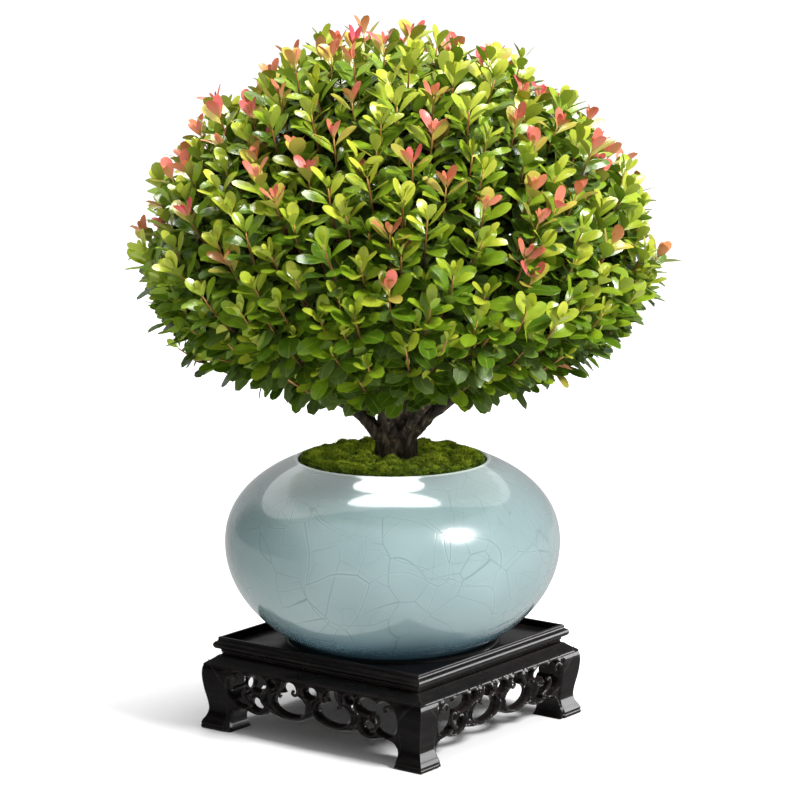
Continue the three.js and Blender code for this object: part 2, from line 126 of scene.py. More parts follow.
def colour_ramp(tree, factor, stops):
    """A ramp through (place, colour) stops, steered by a socket."""
    ramp = put(tree, "ShaderNodeValToRGB", {"Fac": factor})
    marks = ramp.color_ramp.elements
    while len(marks) < len(stops):
        marks.new(0.5)
    for mark, (place, colour) in zip(marks, stops):
        mark.position = place
        mark.color = (*colour, 1)
    return ramp.outputs["Color"]


def new_material(name):
    """A material, its tree and its shader."""
    material = bpy.data.materials.new(name)
    material.use_nodes = True
    return material, material.node_tree, material.node_tree.nodes["Principled BSDF"]


def new_group(name, inputs, outputs):
    """A group's tree with named sockets. An input is (name, kind, value), an output (name, kind)."""
    tree = bpy.data.node_groups.new(name, "ShaderNodeTree")
    for label, kind, value in inputs:
        socket = tree.interface.new_socket(label, in_out="INPUT", socket_type=kind)
        socket.default_value = value
    for label, kind in outputs:
        tree.interface.new_socket(label, in_out="OUTPUT", socket_type=kind)
    return tree, tree.nodes.new("NodeGroupInput"), tree.nodes.new("NodeGroupOutput")


def use_group(tree, group, **sockets):
    """Places a group in a material, with the material's own values."""
    return put(tree, "ShaderNodeGroup", sockets, node_tree=group)


print("helpers ready")

# %% [markdown]
# ## Effects that several finishes share
# Wood and bark both have streaks along their length, and wood, glaze, moss and leaves are all a
# little cloudy. Each finish could hold such nodes of its own, but a node group is built once, and each
# material only gives it a scale. The pattern sits on the object's own coordinates in metres, so it
# doesn't need an unwrapped map.

# %% Streaks and clouds as node groups
FLOAT, VECTOR = "NodeSocketFloat", "NodeSocketVector"

streaks, inner, outer = new_group(
    "streaks",
    [("Scale", FLOAT, 200), ("Squeeze", VECTOR, (1, 1, 0.1)), ("Detail", FLOAT, 4)],
    [("Value", FLOAT)],
)
place = put(streaks, "ShaderNodeTexCoord").outputs["Object"]
fibres = put(streaks, "ShaderNodeTexNoise", {
    "Vector": shifted(streaks, "MULTIPLY", place, inner.outputs["Squeeze"]),
    "Scale": inner.outputs["Scale"], "Detail": inner.outputs["Detail"], "Distortion": 0.6,
})
streaks.links.new(fibres.outputs["Fac"], outer.inputs["Value"])

clouds, inner, outer = new_group(
    "clouds", [("Scale", FLOAT, 40), ("Low", FLOAT, 0), ("High", FLOAT, 1)], [("Value", FLOAT)],
)
cloud = put(clouds, "ShaderNodeTexNoise", {
    "Vector": put(clouds, "ShaderNodeTexCoord").outputs["Object"],
    "Scale": inner.outputs["Scale"], "Detail": 3,
})
spread = put(clouds, "ShaderNodeMapRange", {
    "Value": cloud.outputs["Fac"], "From Min": 0.3, "From Max": 0.7,
    "To Min": inner.outputs["Low"], "To Max": inner.outputs["High"],
})
clouds.links.new(spread.outputs["Result"], outer.inputs["Value"])
print("groups:", [group.name for group in bpy.data.node_groups])

# %% [markdown]
# ## Lamps round the plant
# The glaze and the polished wood mirror their studio, so a lamp has to look right as well as give
# light. A photograph of a studio could be wrapped round the scene, but lamps are easier to place. The
# key is a sun lamp with a wide angle, which lights the whole floor evenly and shows in the glaze as
# one small round spot. Two area lamps overhead light the crown, and a weak one fills its front. All
# the lamps are hidden from the camera.

# %% Key, overhead lamps, fill and wall
LAMP_TARGET = Vector((0, 0, 0.17))


def new_lamp(name, kind, power, location, **settings):
    """A lamp that the camera doesn't see."""
    data = bpy.data.lights.new(name, kind)
    data.energy = power
    for setting, value in settings.items():
        setattr(data, setting, value)
    lamp = bpy.data.objects.new(name, data)
    lamp.location = location
    lamp.visible_camera = False
    scene.collection.objects.link(lamp)
    return lamp


def lamp_towards_middle(name, kind, azimuth, elevation, distance, power, **settings):
    """A lamp aimed at the lip of the pot. The azimuth is counted from the camera, to the right."""
    turn, rise = AZIMUTH + math.radians(azimuth), math.radians(elevation)
    towards = Vector((math.sin(turn) * math.cos(rise), -math.cos(turn) * math.cos(rise), math.sin(rise)))
    lamp = new_lamp(name, kind, power, LAMP_TARGET + towards * distance, **settings)
    lamp.rotation_mode = "QUATERNION"
    lamp.rotation_quaternion = towards.to_track_quat("Z", "Y")
    return lamp


lamp_towards_middle("key", "SUN", 55, 40, 3, 4.5, angle=math.radians(15))
lamp_towards_middle("overhead", "AREA", 180, 77, 2.1, 40, shape="ELLIPSE", size=1.2, size_y=0.75)
lamp_towards_middle("overhead_back", "AREA", 180, 57, 2.3, 14, shape="ELLIPSE", size=0.8, size_y=0.6)
fill = lamp_towards_middle("front_fill", "AREA", -20, 24, 2.6, 3, shape="DISK", size=1.4)
fill.visible_glossy = False

# A long pale wall on the right shows in the polished wood alone, as a sheen on its right-hand faces
stand_only = bpy.data.collections.new("stand_only")
wall = lamp_towards_middle("right_wall", "AREA", 106, 6, 2.3, 120, shape="RECTANGLE", size=1.8, size_y=1.1)
wall.visible_diffuse = False
wall.light_linking.receiver_collection = stand_only

# %% [markdown]
# ## Lamps for the pot alone
# In the studio, soft windows overhead show in the glaze under the lip. The modelled crown would hide
# them, and would shade the shoulder of the pot. The crown could be thinned until they show, but it has
# to stay dense. So some lamps are linked to the pot and its moss alone: three give light and aren't
# mirrored, and three flat ovals just above the lip are mirrored and give no other light.

# %% Pot lamps and windows
pot_only = bpy.data.collections.new("pot_only")
pot_lamps = [
    lamp_towards_middle("shoulder_light", "AREA", -25, 66, 1.5, 11, shape="DISK", size=0.9),
    lamp_towards_middle("side_light", "AREA", 58, 14, 2.2, 11, shape="DISK", size=1.2),
    lamp_towards_middle("table_bounce", "AREA", 12, -28, 1.5, 7, shape="DISK", size=0.9),
]
for lamp in pot_lamps:
    lamp.visible_glossy = False
WINDOW_HEIGHT = 0.203
to_camera = Vector((math.sin(AZIMUTH), -math.cos(AZIMUTH), 0))
windows = [  # name, to the camera's right, towards the camera, width, depth, brightness
    ("window", 0.002, 0.071, 0.086, 0.024, 5.0),
    ("window_back", -0.003, 0.045, 0.058, 0.032, 5.0),
    ("window_wide", -0.024, 0.000, 0.290, 0.172, 0.7),
]
for name, aside, front, wide, deep, bright in windows:
    power = bright * math.pi * (math.pi * wide * deep / 4)
    location = right * aside + to_camera * front + Vector((0, 0, WINDOW_HEIGHT))
    window = new_lamp(name, "AREA", power, location, shape="ELLIPSE", size=wide, size_y=deep)
    window.rotation_euler.z = AZIMUTH
    window.visible_diffuse = False
    pot_lamps.append(window)
for lamp in pot_lamps:
    lamp.light_linking.receiver_collection = pot_only
    lamp.light_linking.blocker_collection = pot_only
print("lamps for the pot:", [lamp.name for lamp in pot_lamps])

# %% [markdown]
# ## The room and the table
# Between the lamps, glaze and wood mirror the room: dark on the left, grey elsewhere, above a pale
# table that is dimmer on the left. Painted walls could stand round the scene, but a world that gets
# its brightness from the direction is simpler. The closer a direction leans to the darkest one, the
# darker it is. The floor is one wide disk, left out of reflections, where the world's table stands for it.

# %% The world
DARKEST = (-0.879, -0.444, 0.176)
TALLER = (1.0, 1.0, 1.7)

world = bpy.data.worlds.new("studio")
world.use_nodes = True
scene.world = world
sky = world.node_tree
direction = put(sky, "ShaderNodeTexCoord").outputs["Generated"]
# Directions are stretched upward first, so that the dark patch is wide and low
stretched = put(sky, "ShaderNodeVectorMath", {
    0: shifted(sky, "MULTIPLY", direction, TALLER),
}, operation="NORMALIZE").outputs[0]
lean = put(sky, "ShaderNodeVectorMath", {
    0: stretched, 1: DARKEST,
}, operation="DOT_PRODUCT").outputs["Value"]
room_brightness = band(sky, lean, 0.66, 0.88, 0.66, 0.02)
table_brightness = band(sky, lean, 0.2, 0.85, 0.9, 0.42)
level = put(sky, "ShaderNodeSeparateXYZ", {0: direction}).outputs["Z"]
below_horizon = band(sky, level, -0.02, -0.05)
seen = put(sky, "ShaderNodeMix", {0: below_horizon, 2: room_brightness, 3: table_brightness}).outputs[0]
fill_sockets(sky, sky.nodes["Background"], {"Color": seen, "Strength": 0.62})
print("world:", world.name, "with", len(sky.nodes), "nodes")

# %% The floor
FLOOR_RADIUS, FLOOR_SIDES = 14, 96

spokes = [2 * math.pi * side / FLOOR_SIDES for side in range(FLOOR_SIDES)]
rim = [(FLOOR_RADIUS * math.cos(spoke), FLOOR_RADIUS * math.sin(spoke), 0) for spoke in spokes]
floor_mesh = bpy.data.meshes.new("floor")
floor_mesh.from_pydata(rim, [], [list(range(FLOOR_SIDES))])
floor = bpy.data.objects.new("floor", floor_mesh)
scene.collection.objects.link(floor)
floor.visible_glossy = False
material, tree, shader = new_material("pale_table")
paper = use_group(tree, clouds, Scale=30.0, Low=0.9, High=0.93).outputs["Value"]
fill_sockets(tree, shader, {"Base Color": paper, "Roughness": 0.9})
floor_mesh.materials.append(material)
print("floor: a disk of", FLOOR_RADIUS, "m")

# %% [markdown]
# ## Small helpers for meshes
# All sizes below are in millimetres, as on the drawing of the part. A piece could be pushed into shape
# by hand, but its sizes would then be nowhere to read. Here it is gathered from shells, each a list of
# points with its faces, and becomes one mesh in metres. A piece with crisp edges is welded, and edges
# that turn more than its crease are marked sharp, so that flat faces stay flat beside smooth ones.

# %% From shells to a piece
class Shells:
    """Points and faces of one piece, gathered shell by shell, with a material for each face."""

    def __init__(self):
        self.points, self.faces, self.kinds, self.count = [], [], [], 0

    def add(self, points, faces, kind=0):
        points = np.asarray(points, float).reshape(-1, 3)
        for group in faces if isinstance(faces, tuple) else (faces,):
            group = np.asarray(group, int)
            self.faces.extend((group + self.count).tolist())
            self.kinds.extend([kind] * len(group))
        self.points.append(points)
        self.count += len(points)


WELD = 0.01 * MM


def close_up(mesh, crease):
    """Welds points that lie together, turns the faces out and marks the sharp edges."""
    work = bmesh.new()
    work.from_mesh(mesh)
    bmesh.ops.remove_doubles(work, verts=work.verts, dist=WELD)
    bmesh.ops.dissolve_degenerate(work, edges=work.edges, dist=WELD)
    bmesh.ops.recalc_face_normals(work, faces=work.faces)
    work.to_mesh(mesh)
    work.free()
    mesh.set_sharp_from_angle(angle=math.radians(crease))


def make_piece(name, shells, materials, slot, crease=None, values=None):
    """The finished piece, riding on the frame in place of the CAD node with its name."""
    mesh = bpy.data.meshes.new(name)
    mesh.from_pydata(np.concatenate(shells.points) * MM, [], shells.faces)
    for material in materials:
        mesh.materials.append(material)
    mesh.polygons.foreach_set("material_index", shells.kinds)
    mesh.polygons.foreach_set("use_smooth", [True] * len(mesh.polygons))
    for label, rows in (values or {}).items():
        attribute = mesh.attributes.new(label, "FLOAT_VECTOR", "POINT")
        attribute.data.foreach_set("vector", np.asarray(rows, np.float32).ravel())
    mesh.update()
    if crease:
        close_up(mesh, crease)
    piece = bpy.data.objects.new(name, mesh)
    scene.collection.objects.link(piece)
    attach(piece, "root")
    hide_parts(name)
    if slot == "blackwood":
        stand_only.objects.link(piece)
    print(f"{name}: {len(shells.faces)} faces")
    return piece


print("points within", WELD, "m of each other are welded where a piece has a crease")

# %% Turns, smooth lines and tubes
def full_turn(sides):
    """Angles at even steps, once round."""
    return 2 * np.pi * np.arange(sides) / sides


def level_ring(reach, angles, height):
    """Points round the axis at one height. The reach is one number, or one for each angle."""
    return np.stack([reach * np.cos(angles), reach * np.sin(angles), np.full(len(angles), height)], 1)


def quarter_turn(points, side):
    """Turns points from the front side to the side with that number."""
    x, y, z = np.asarray(points, float).T
    for _ in range(side):
        x, y = -y, x
    return np.stack([x, y, z], 1)


def smooth_line(points, steps):
    """A smooth line through points of any dimension, with that many steps between two of them."""
    points = np.asarray(points, float)
    ends = np.concatenate([2 * points[:1] - points[1:2], points, 2 * points[-1:] - points[-2:-1]])
    line = []
    for a, b, c, d in zip(ends, ends[1:], ends[2:], ends[3:]):
        for t in np.arange(steps) / steps:
            line.append(0.5 * (2 * b + (c - a) * t + (2 * a - 5 * b + 4 * c - d) * t * t
                               + (3 * b - a - 3 * c + d) * t ** 3))
    return np.array([*line, points[-1]])


def tube(path, radii, sides):
    """A closed tube along a path: its points and its faces. The frame is carried along unturned."""
    path = np.asarray(path, float)
    radii = np.broadcast_to(radii, len(path))
    ahead = np.gradient(path, axis=0)
    ahead /= np.linalg.norm(ahead, axis=1, keepdims=True) + 1e-12
    aside = np.cross(ahead[0], [0.31, 0.53, 0.79])
    turn = full_turn(sides)
    rings = []
    for centre, along, radius in zip(path, ahead, radii):
        aside = aside - along * aside.dot(along)
        aside /= np.linalg.norm(aside)
        third = np.cross(along, aside)
        rings.append(centre + radius * (np.cos(turn)[:, None] * aside + np.sin(turn)[:, None] * third))
    points = np.concatenate([*rings, path[:1], path[-1:]])
    return points, tube_faces(len(path), sides)


def ring_quads(rings, sides, closed=False):
    """Quads between rings of points. When closed, the last ring joins the first."""
    row, side = np.meshgrid(np.arange(rings if closed else rings - 1), np.arange(sides), indexing="ij")
    below, after = (row + 1) % rings, (side + 1) % sides
    return np.stack([row * sides + side, row * sides + after,
                     below * sides + after, below * sides + side], -1).reshape(-1, 4)


def tube_faces(rings, sides):
    """Quads round a tube, and a fan of triangles over each end."""
    side = np.arange(sides)
    after = (side + 1) % sides
    last = (rings - 1) * sides
    first_end, last_end = rings * sides, rings * sides + 1
    start = np.stack([np.full(sides, first_end), after, side], 1)
    end = np.stack([np.full(sides, last_end), last + side, last + after], 1)
    return ring_quads(rings, sides), np.concatenate([start, end])


print("mesh helpers ready")

# %% [markdown]
# ## Blackwood finish
# The stand is a dense tropical wood, stained nearly black, waxed and polished by hand. A picture of
# wood could be laid on it, but every curl would need its own map. So streaks of a nearly black brown
# give the colour, high edges are rubbed a touch lighter, and the polish is a thin clear coat over a
# slightly rougher surface. Long fibres run along X or Y, so the streaks are drawn out along both and
# stay narrow across Z.

# %% The blackwood material
def blend_colours(tree, factor, low, high):
    """A blend of two colours, each a socket or a colour, steered by a socket."""
    return put(tree, "ShaderNodeMix", {
        0: factor,
        6: low if isinstance(low, bpy.types.NodeSocket) else (*low, 1),
        7: high if isinstance(high, bpy.types.NodeSocket) else (*high, 1),
    }, data_type="RGBA").outputs[2]


def tilted_normal(tree, height, strength, distance, **settings):
    """The normal of a surface with a small relief. The distance is in metres."""
    sockets = {"Strength": strength, "Distance": distance, "Height": height}
    return put(tree, "ShaderNodeBump", sockets, **settings).outputs["Normal"]


blackwood, tree, shader = new_material("polished_blackwood")
fibre = use_group(tree, streaks, Scale=420.0, Squeeze=(0.12, 0.12, 1.0), Detail=5.0).outputs["Value"]
tone = colour_ramp(tree, fibre, [
    (0.30, (0.0022, 0.0019, 0.0019)), (0.55, (0.0048, 0.0039, 0.0038)), (0.75, (0.012, 0.0080, 0.0070)),
])
rubbed = put(tree, "ShaderNodeMapRange", {
    "Value": put(tree, "ShaderNodeNewGeometry").outputs["Pointiness"],
    "From Min": 0.51, "From Max": 0.60, "To Min": 0.0, "To Max": 0.35,
}).outputs["Result"]
fill_sockets(tree, shader, {
    "Base Color": blend_colours(tree, rubbed, tone, (0.055, 0.045, 0.042)),
    "Roughness": use_group(tree, clouds, Scale=60.0, Low=0.24, High=0.4).outputs["Value"],
    "Specular IOR Level": 0.04, "Coat Weight": 0.22, "Coat Roughness": 0.1,
    "Normal": tilted_normal(tree, fibre, 0.25, 0.0002),
})
print("finish:", blackwood.name)

# %% [markdown]
# ## Rails and waist
# The tray's frame is four mitred rails. Each is planed to one profile: a thin lip, a narrow cove, a
# round bead and a deeper cove below it. A bevelled curve could carry such a profile, but its corners
# wouldn't be true mitres. Points drawn out between two mitre planes give exactly that, so one function
# makes all the straight mouldings. Front is side 0, and the others are quarter turns of it.

# %% Mitred mouldings
SIDES = ["front", "right", "back", "left"]
HAIRLINE = 0.08
MOULDING_STEPS = 24
PLANED_CREASE, CARVED_CREASE, GLAZED_CREASE = 35, 50, 60


def arc(across, height, radius, start, end, steps):
    """Points on an arc in a profile. Angles are in degrees, 0 pointing outward and 90 up."""
    angles = np.radians(np.linspace(start, end, steps + 1))
    return [(across + radius * math.cos(a), height + radius * math.sin(a)) for a in angles]


def mitred(profile, side):
    """One side of a square frame from a closed profile of (half-width, height) points."""
    profile = np.asarray(profile, float)
    shares = np.linspace(-1, 1, MOULDING_STEPS + 1)
    rings = [np.stack([s * (profile[:, 0] - HAIRLINE), -profile[:, 0], profile[:, 1]], 1) for s in shares]
    corners = len(profile)
    last = MOULDING_STEPS * corners
    caps = [list(range(corners))[::-1], [last + c for c in range(corners)]]
    return quarter_turn(np.concatenate(rings), side), (ring_quads(len(rings), corners), caps)


rail_profile = [
    (68, 48.2), *arc(75.8, 48.7, 0.5, 270, 360, 3), *arc(78.5, 48.9, 2.2, 180, 128, 5),
    *arc(77.45, 53.0, 2.55, -62, 62, 14), *arc(79.1, 56.6, 1.5, 236, 180, 6),
    *arc(77.1, 57.5, 0.5, 0, 90, 4), *arc(76.0, 57.5, 0.5, 90, 180, 4), (75.5, 50.0), (68, 50.0),
]
waist_profile = [
    (63.2, 44.0), (75.9, 44.0), *arc(79.1, 45.95, 3.5, 212, 148, 7), (75.9, 47.9), (63.2, 47.9),
]
for kind, profile in (("top_rail", rail_profile), ("waist", waist_profile)):
    for side, side_name in enumerate(SIDES):
        shells = Shells()
        shells.add(*mitred(profile, side))
        make_piece(f"{kind}_{side_name}", shells, [blackwood], "blackwood", PLANED_CREASE)

# %% [markdown]
# ## The tray panel
# A thin board lies inside the rails. A round bead is carved on it, in which the foot of the pot
# stands. A ring could be joined to a flat box, but the seam would show in the polish. So the board is
# a fan of rings round the middle that turns from round, at the bead, to square, at the edge, and both
# outlines are exact.

# %% The tray panel with its bead
def square_reach(angles, half):
    """How far a square of that half-width reaches in each direction."""
    return half / np.maximum(np.abs(np.cos(angles)), np.abs(np.sin(angles)))


PANEL_SIDES = 240
PANEL_TOP, PANEL_UNDERSIDE = 54.0, 50.3

angles = full_turn(PANEL_SIDES)
round_levels = [
    (20, PANEL_TOP), (45, PANEL_TOP), (63.2, PANEL_TOP), (63.9, 54.1), (64.3, 54.7), (64.9, 55.1),
    (65.6, 55.22), (66.3, 55.1), (66.9, 54.7), (67.3, 54.1), (68.0, PANEL_TOP),
]
square_levels = [(72.5, PANEL_TOP), (74.7, PANEL_TOP), (75.1, 53.8), (75.2, 53.4), (75.2, PANEL_UNDERSIDE)]
rings = [level_ring(radius, angles, z) for radius, z in round_levels]
rings += [level_ring(square_reach(angles, half), angles, z) for half, z in square_levels]
panel = Shells()
panel.add(
    np.concatenate([*rings, [[0, 0, PANEL_TOP], [0, 0, PANEL_UNDERSIDE]]]),
    tube_faces(len(rings), PANEL_SIDES),
)
make_piece("tray_panel", panel, [blackwood], "blackwood", PLANED_CREASE)

# %% [markdown]
# ## The carved skirt
# Below the waist the stand is one bellied skirt, cut into four aprons and four legs. Seen square on,
# the openwork is a row of openings above a scalloped arch. A carver saws them out, slopes the wood
# down towards each opening and leaves a double raised line round it. Sculpting could give that too,
# stroke by stroke. Here the outlines are sampled as points, and the distance to the nearest outline
# gives the depth of the carving. So the raised lines follow every opening by themselves.

# %% The skirt's profile and its joints
skirt_line = np.concatenate([
    smooth_line([
        (85.2, 0), (85.6, 1.0), (85.6, 2.0), (85.15, 2.5), (85.5, 3.1), (85.2, 4.6), (84.2, 6.2),
        (82.9, 8.6), (82.0, 12.5), (82.6, 18), (84.1, 25.5), (85.0, 33), (84.9, 38), (84.2, 40.6),
    ], 6),
    [(84.35, 41.0), (84.3, 41.5), (83.7, 41.9), (82.4, 42.7), (80.7, 43.9), (79.1, 45.1), (77.7, 46.4)],
])
SKIRT_TOP = 46.4
JOINT = 62.2
JOINT_TURN = 24.0
FRAME_EDGE = 39.0


def skirt_half(z):
    """Half-width of the skirt's outside at a height."""
    return np.interp(z, skirt_line[:, 1], skirt_line[:, 0])


def skirt_back(z):
    """Half-width of the back of the aprons at a height."""
    return np.interp(z, [0, 12.5, 41, 43, SKIRT_TOP], [76.9, 76.9, 79.4, 76.9, 76.9])


def joint_at(z):
    """Where an apron meets the leg: upright below, a 45-degree shoulder above."""
    return JOINT + np.maximum(0, np.asarray(z) - JOINT_TURN)


print("skirt:", len(skirt_line), "points, half-width", skirt_half(0), "to", skirt_half(38))

# %% The arch and the openings
CURVE_STEPS = 14


def scallop(*controls):
    """A curve of the arch, pulled by its inner controls, without its first point."""
    t = np.arange(1, CURVE_STEPS + 1)[:, None] / CURVE_STEPS
    rows = [np.asarray(c, float)[None] + 0 * t for c in controls]
    while len(rows) > 1:
        rows = [a + (b - a) * t for a, b in zip(rows, rows[1:])]
    return rows[0]


arch_half = np.concatenate([
    [(0.0, 20.0)], scallop((0, 20), (8.5, 14.5), (17, 14.5)), scallop((17, 14.5), (25.5, 14.5), (34, 17)),
    scallop((34, 17), (39, 13.4), (44, 13.4)), scallop((44, 13.4), (49, 13.4), (54, 16)),
    scallop((54, 16), (60.5, 15.5), (65.1, 11.5), (65.1, 7)), scallop((65.1, 7), (65.1, 2.5), (63.2, 0)),
])
arch = np.concatenate([arch_half[:0:-1] * (-1, 1), arch_half])

half_ovals = [  # middle across and up, half-width, half-height
    (17, 25.5, 12.6, 7.0), (17, 35, 5.6, 4.0), (56, 28.5, 9.3, 10.3), (43, 34.8, 8.0, 4.2),
    (43.5, 21.3, 4.8, 3.6), (30.4, 36.8, 2.6, 1.7),
]
OVAL_BESIDE_LEG = 2
ovals = half_ovals + [(-a, b, c, d) for a, b, c, d in half_ovals] + [(0, 35.6, 4.6, 2.8)]


def oval_line(oval, spacing=0.9, growth=0.0):
    """Points round an oval that is grown by some millimetres."""
    across, height, half_width, half_height = oval
    half_width, half_height = half_width + growth, half_height + growth
    turn = full_turn(max(14, int(math.pi * (half_width + half_height) / spacing)))
    return np.stack([across + half_width * np.cos(turn), height + half_height * np.sin(turn)], 1)


print("openings in each apron:", len(ovals))

# %% How far a place is from the outlines
CHUNK = 2000


def distance_to(points, line, closed):
    """Distance from each point to a line through points."""
    start, end = (line, np.roll(line, -1, 0)) if closed else (line[:-1], line[1:])
    run = end - start
    out = np.empty(len(points))
    for first in range(0, len(points), CHUNK):
        away = points[first:first + CHUNK, None] - start
        share = ((away * run).sum(2) / (run * run).sum(1)).clip(0, 1)
        out[first:first + CHUNK] = np.linalg.norm(away - share[..., None] * run, axis=2).min(1)
    return out


def inside_oval(points, oval):
    """Which of the points lie inside an oval."""
    across, height, half_width, half_height = oval
    return ((points[:, 0] - across) / half_width) ** 2 + ((points[:, 1] - height) / half_height) ** 2 < 1


oval_lines = [oval_line(oval, 0.5) for oval in ovals]


def from_openings(points):
    """Distance to the nearest opening, below zero inside one."""
    nearest = np.full(len(points), 1e9)
    for oval, line in zip(ovals, oval_lines):
        away = distance_to(points, line, True)
        nearest = np.minimum(nearest, np.where(inside_oval(points, oval), -away, away))
    return nearest


widest = from_openings(np.array([[0.0, 22.0]]))[0]
print("wood beside the middle of the arch:", round(float(widest), 1), "mm to the nearest opening")

# %% [markdown]
# The carving's depth is a sum of simple forms: a sunk ground, two raised lines round each opening,
# a hollow that slopes into it, a rounded lower edge with its own line, and a few curls that are laid
# on the ground. A curl is a smooth line, raised as a half-round over a small distance.

# %% Depth of the carving
GROUND_DEPTH, HOLLOW_DEPTH, EDGE_DEPTH = 1.0, 3.1, 1.3
CURL_HEIGHT, CURL_HALF_WIDTH = 1.25, 1.3
GROUND_HALF_WIDTH = 66.4
half_curls = [
    [(31.5, 19.5), (37.0, 24.0), (37.0, 29.0), (33.2, 32.6), (31.2, 30.4), (33.0, 28.4)],
    [(6.8, 19.6), (2.4, 24.0), (1.0, 29.0), (3.6, 32.4)],
    [(27.2, 34.2), (31.6, 33.8), (35.6, 30.2)],
]
curls = half_curls + [[(-a, b) for a, b in curl] for curl in half_curls]
curl_lines = [smooth_line(curl, 8) for curl in curls]


def step(value, start, end):
    """A smooth step from 0 at start to 1 at end."""
    share = np.clip((value - start) / (end - start), 0, 1)
    return share * share * (3 - 2 * share)


def ridge(distance, middle, width):
    """A round ridge at some distance from an outline, 1 at its top."""
    return np.exp(-((distance - middle) / width) ** 2)


def carving(points):
    """How far the carved face stands out from the skirt at each (across, height), in millimetres."""
    u, z = points.T
    away = from_openings(points)
    under = distance_to(points, arch, False)
    across = step(np.abs(u), GROUND_HALF_WIDTH + 1, GROUND_HALF_WIDTH)
    field = step(z, FRAME_EDGE + 0.3, FRAME_EDGE - 0.5) * across
    curl = np.min([distance_to(points, line, False) for line in curl_lines], axis=0)
    ground = -GROUND_DEPTH * field * step(away, 0.0, 4.2)
    lines = 0.75 * ridge(away, 2.0, 0.45) + 0.6 * ridge(away, 3.4, 0.4)
    hollow = -HOLLOW_DEPTH * np.clip(1 - away / 1.7, 0, 1) ** 1.5
    edge = -EDGE_DEPTH * np.clip(1 - under / 0.8, 0, 1) ** 2 + 0.5 * field * ridge(under, 1.35, 0.4)
    half_round = np.sqrt(np.clip(1 - (curl / CURL_HALF_WIDTH) ** 2, 0, 1))
    laid = CURL_HEIGHT * field * half_round * step(away, 0.6, 1.6)
    rim = step(z, FRAME_EDGE + 1.5, FRAME_EDGE)
    return ground + lines * field + hollow * rim + edge + laid


print("curls laid on the ground of each apron:", len(curls))

# %% [markdown]
# ## Aprons
# An apron is a curved board with holes. They could be cut from a solid board by booleans, but the cuts
# would leave long thin faces that spoil the carving. So its front is a net of triangles between the
# outlines and rows of points that follow the raised lines, made by a constrained triangulation, which
# keeps every outline as an edge. The back uses the outlines alone. Walls join the two along each
# outline.

# %% Outline of an apron, and what lies in it
UP_TO_THE_LEG = 75  # points of the half arch before it draws back under the leg


def apron_outline():
    """The apron's own edge: joints and top, as a closed line that crosses the arch."""
    rise = np.concatenate([[-1.0, 8.0, JOINT_TURN], np.arange(JOINT_TURN + 1, SKIRT_TOP, 0.5)])
    reach = np.minimum(joint_at(rise), skirt_half(rise)) - HAIRLINE
    top = skirt_half(SKIRT_TOP) - HAIRLINE
    right_edge = np.stack([reach, rise], 1)
    tops = [(s, SKIRT_TOP) for s in np.linspace(top, -top, 90)]
    return np.concatenate([right_edge, tops, right_edge[::-1] * (-1, 1)])


def in_apron(points):
    """Which of the points lie in the wood of an apron."""
    u, z = points.T
    side = np.minimum(joint_at(z), skirt_half(z)) - HAIRLINE
    wood_begins = np.interp(np.abs(u), arch_half[:UP_TO_THE_LEG, 0], arch_half[:UP_TO_THE_LEG, 1])
    return (np.abs(u) < side) & (z > wood_begins) & (z < SKIRT_TOP) & (from_openings(points) > 0)


print("apron outline:", len(apron_outline()), "points")

# %% Points of the net
COLUMN_GAP, ROW_SHIFT = 1.4, 0.37


def rows_and_columns():
    """Points of the plain net, closer together where the profile turns."""
    heights = np.array([
        *np.arange(13.6, 38.4, 1.5), 38.6, 39.0, 39.4, 39.9, 40.4, 40.8, 41.15, 41.5, 41.8, 42.2, 42.7,
        43.3, 43.9, 44.6, 45.3, 45.9,
    ])
    return np.array([(u + ROW_SHIFT * (row % 2), z) for row, z in enumerate(heights)
                     for u in np.arange(-84, 84.5, COLUMN_GAP)])


def offset_rows():
    """Rows of points that follow the raised lines round the openings and along the arch."""
    rows = []
    for growth in (0.4, 0.8, 1.2, 1.6, 2.0, 2.4, 2.8, 3.1, 3.4, 3.75, 4.1):
        for oval in ovals:
            row = oval_line(oval, 1.15, growth)
            rows.append(row[np.abs(from_openings(row) - growth) < 0.18])
    normals = np.gradient(arch, axis=0)[:, ::-1] * (-1, 1)
    normals /= np.linalg.norm(normals, axis=1, keepdims=True)
    for growth in (0.25, 0.55, 0.85, 1.35, 1.8):
        row = arch[::2] + growth * normals[::2]
        rows.append(row[np.abs(distance_to(row, arch, False) - growth) < 0.1])
    curl_rows = np.concatenate(curl_lines)
    every = np.concatenate([*rows, curl_rows[::2]])
    return every[in_apron(every)]


def spaced(points, others, least):
    """The points that keep some distance from all the others."""
    away = np.array([np.min(((others - p) ** 2).sum(1)) for p in points])
    return points[away > least * least]


following = offset_rows()
grid = rows_and_columns()
grid = spaced(grid[in_apron(grid)], following, 0.75)
print("points of the net:", len(following), "along the raised lines,", len(grid), "between them")

# %% Triangles of the net
def net(free_points):
    """Triangles between the outlines through the free points: 2-D points and faces."""
    loops = [(apron_outline(), True), (arch, False)] + [(oval_line(oval), True) for oval in ovals]
    points, edges = [], []
    for line, closed in loops:
        first = len(points)
        points.extend(line)
        edges += [(first + i, first + i + 1) for i in range(len(line) - 1)]
        if closed:
            edges.append((first + len(line) - 1, first))
    points.extend(free_points)
    made = delaunay_2d_cdt([Vector(p) for p in points], edges, [], 0, 1e-5)
    flat, faces = np.array([tuple(p) for p in made[0]]), np.array(made[2])
    kept = in_apron(flat[faces].mean(1))
    return flat, faces[kept]


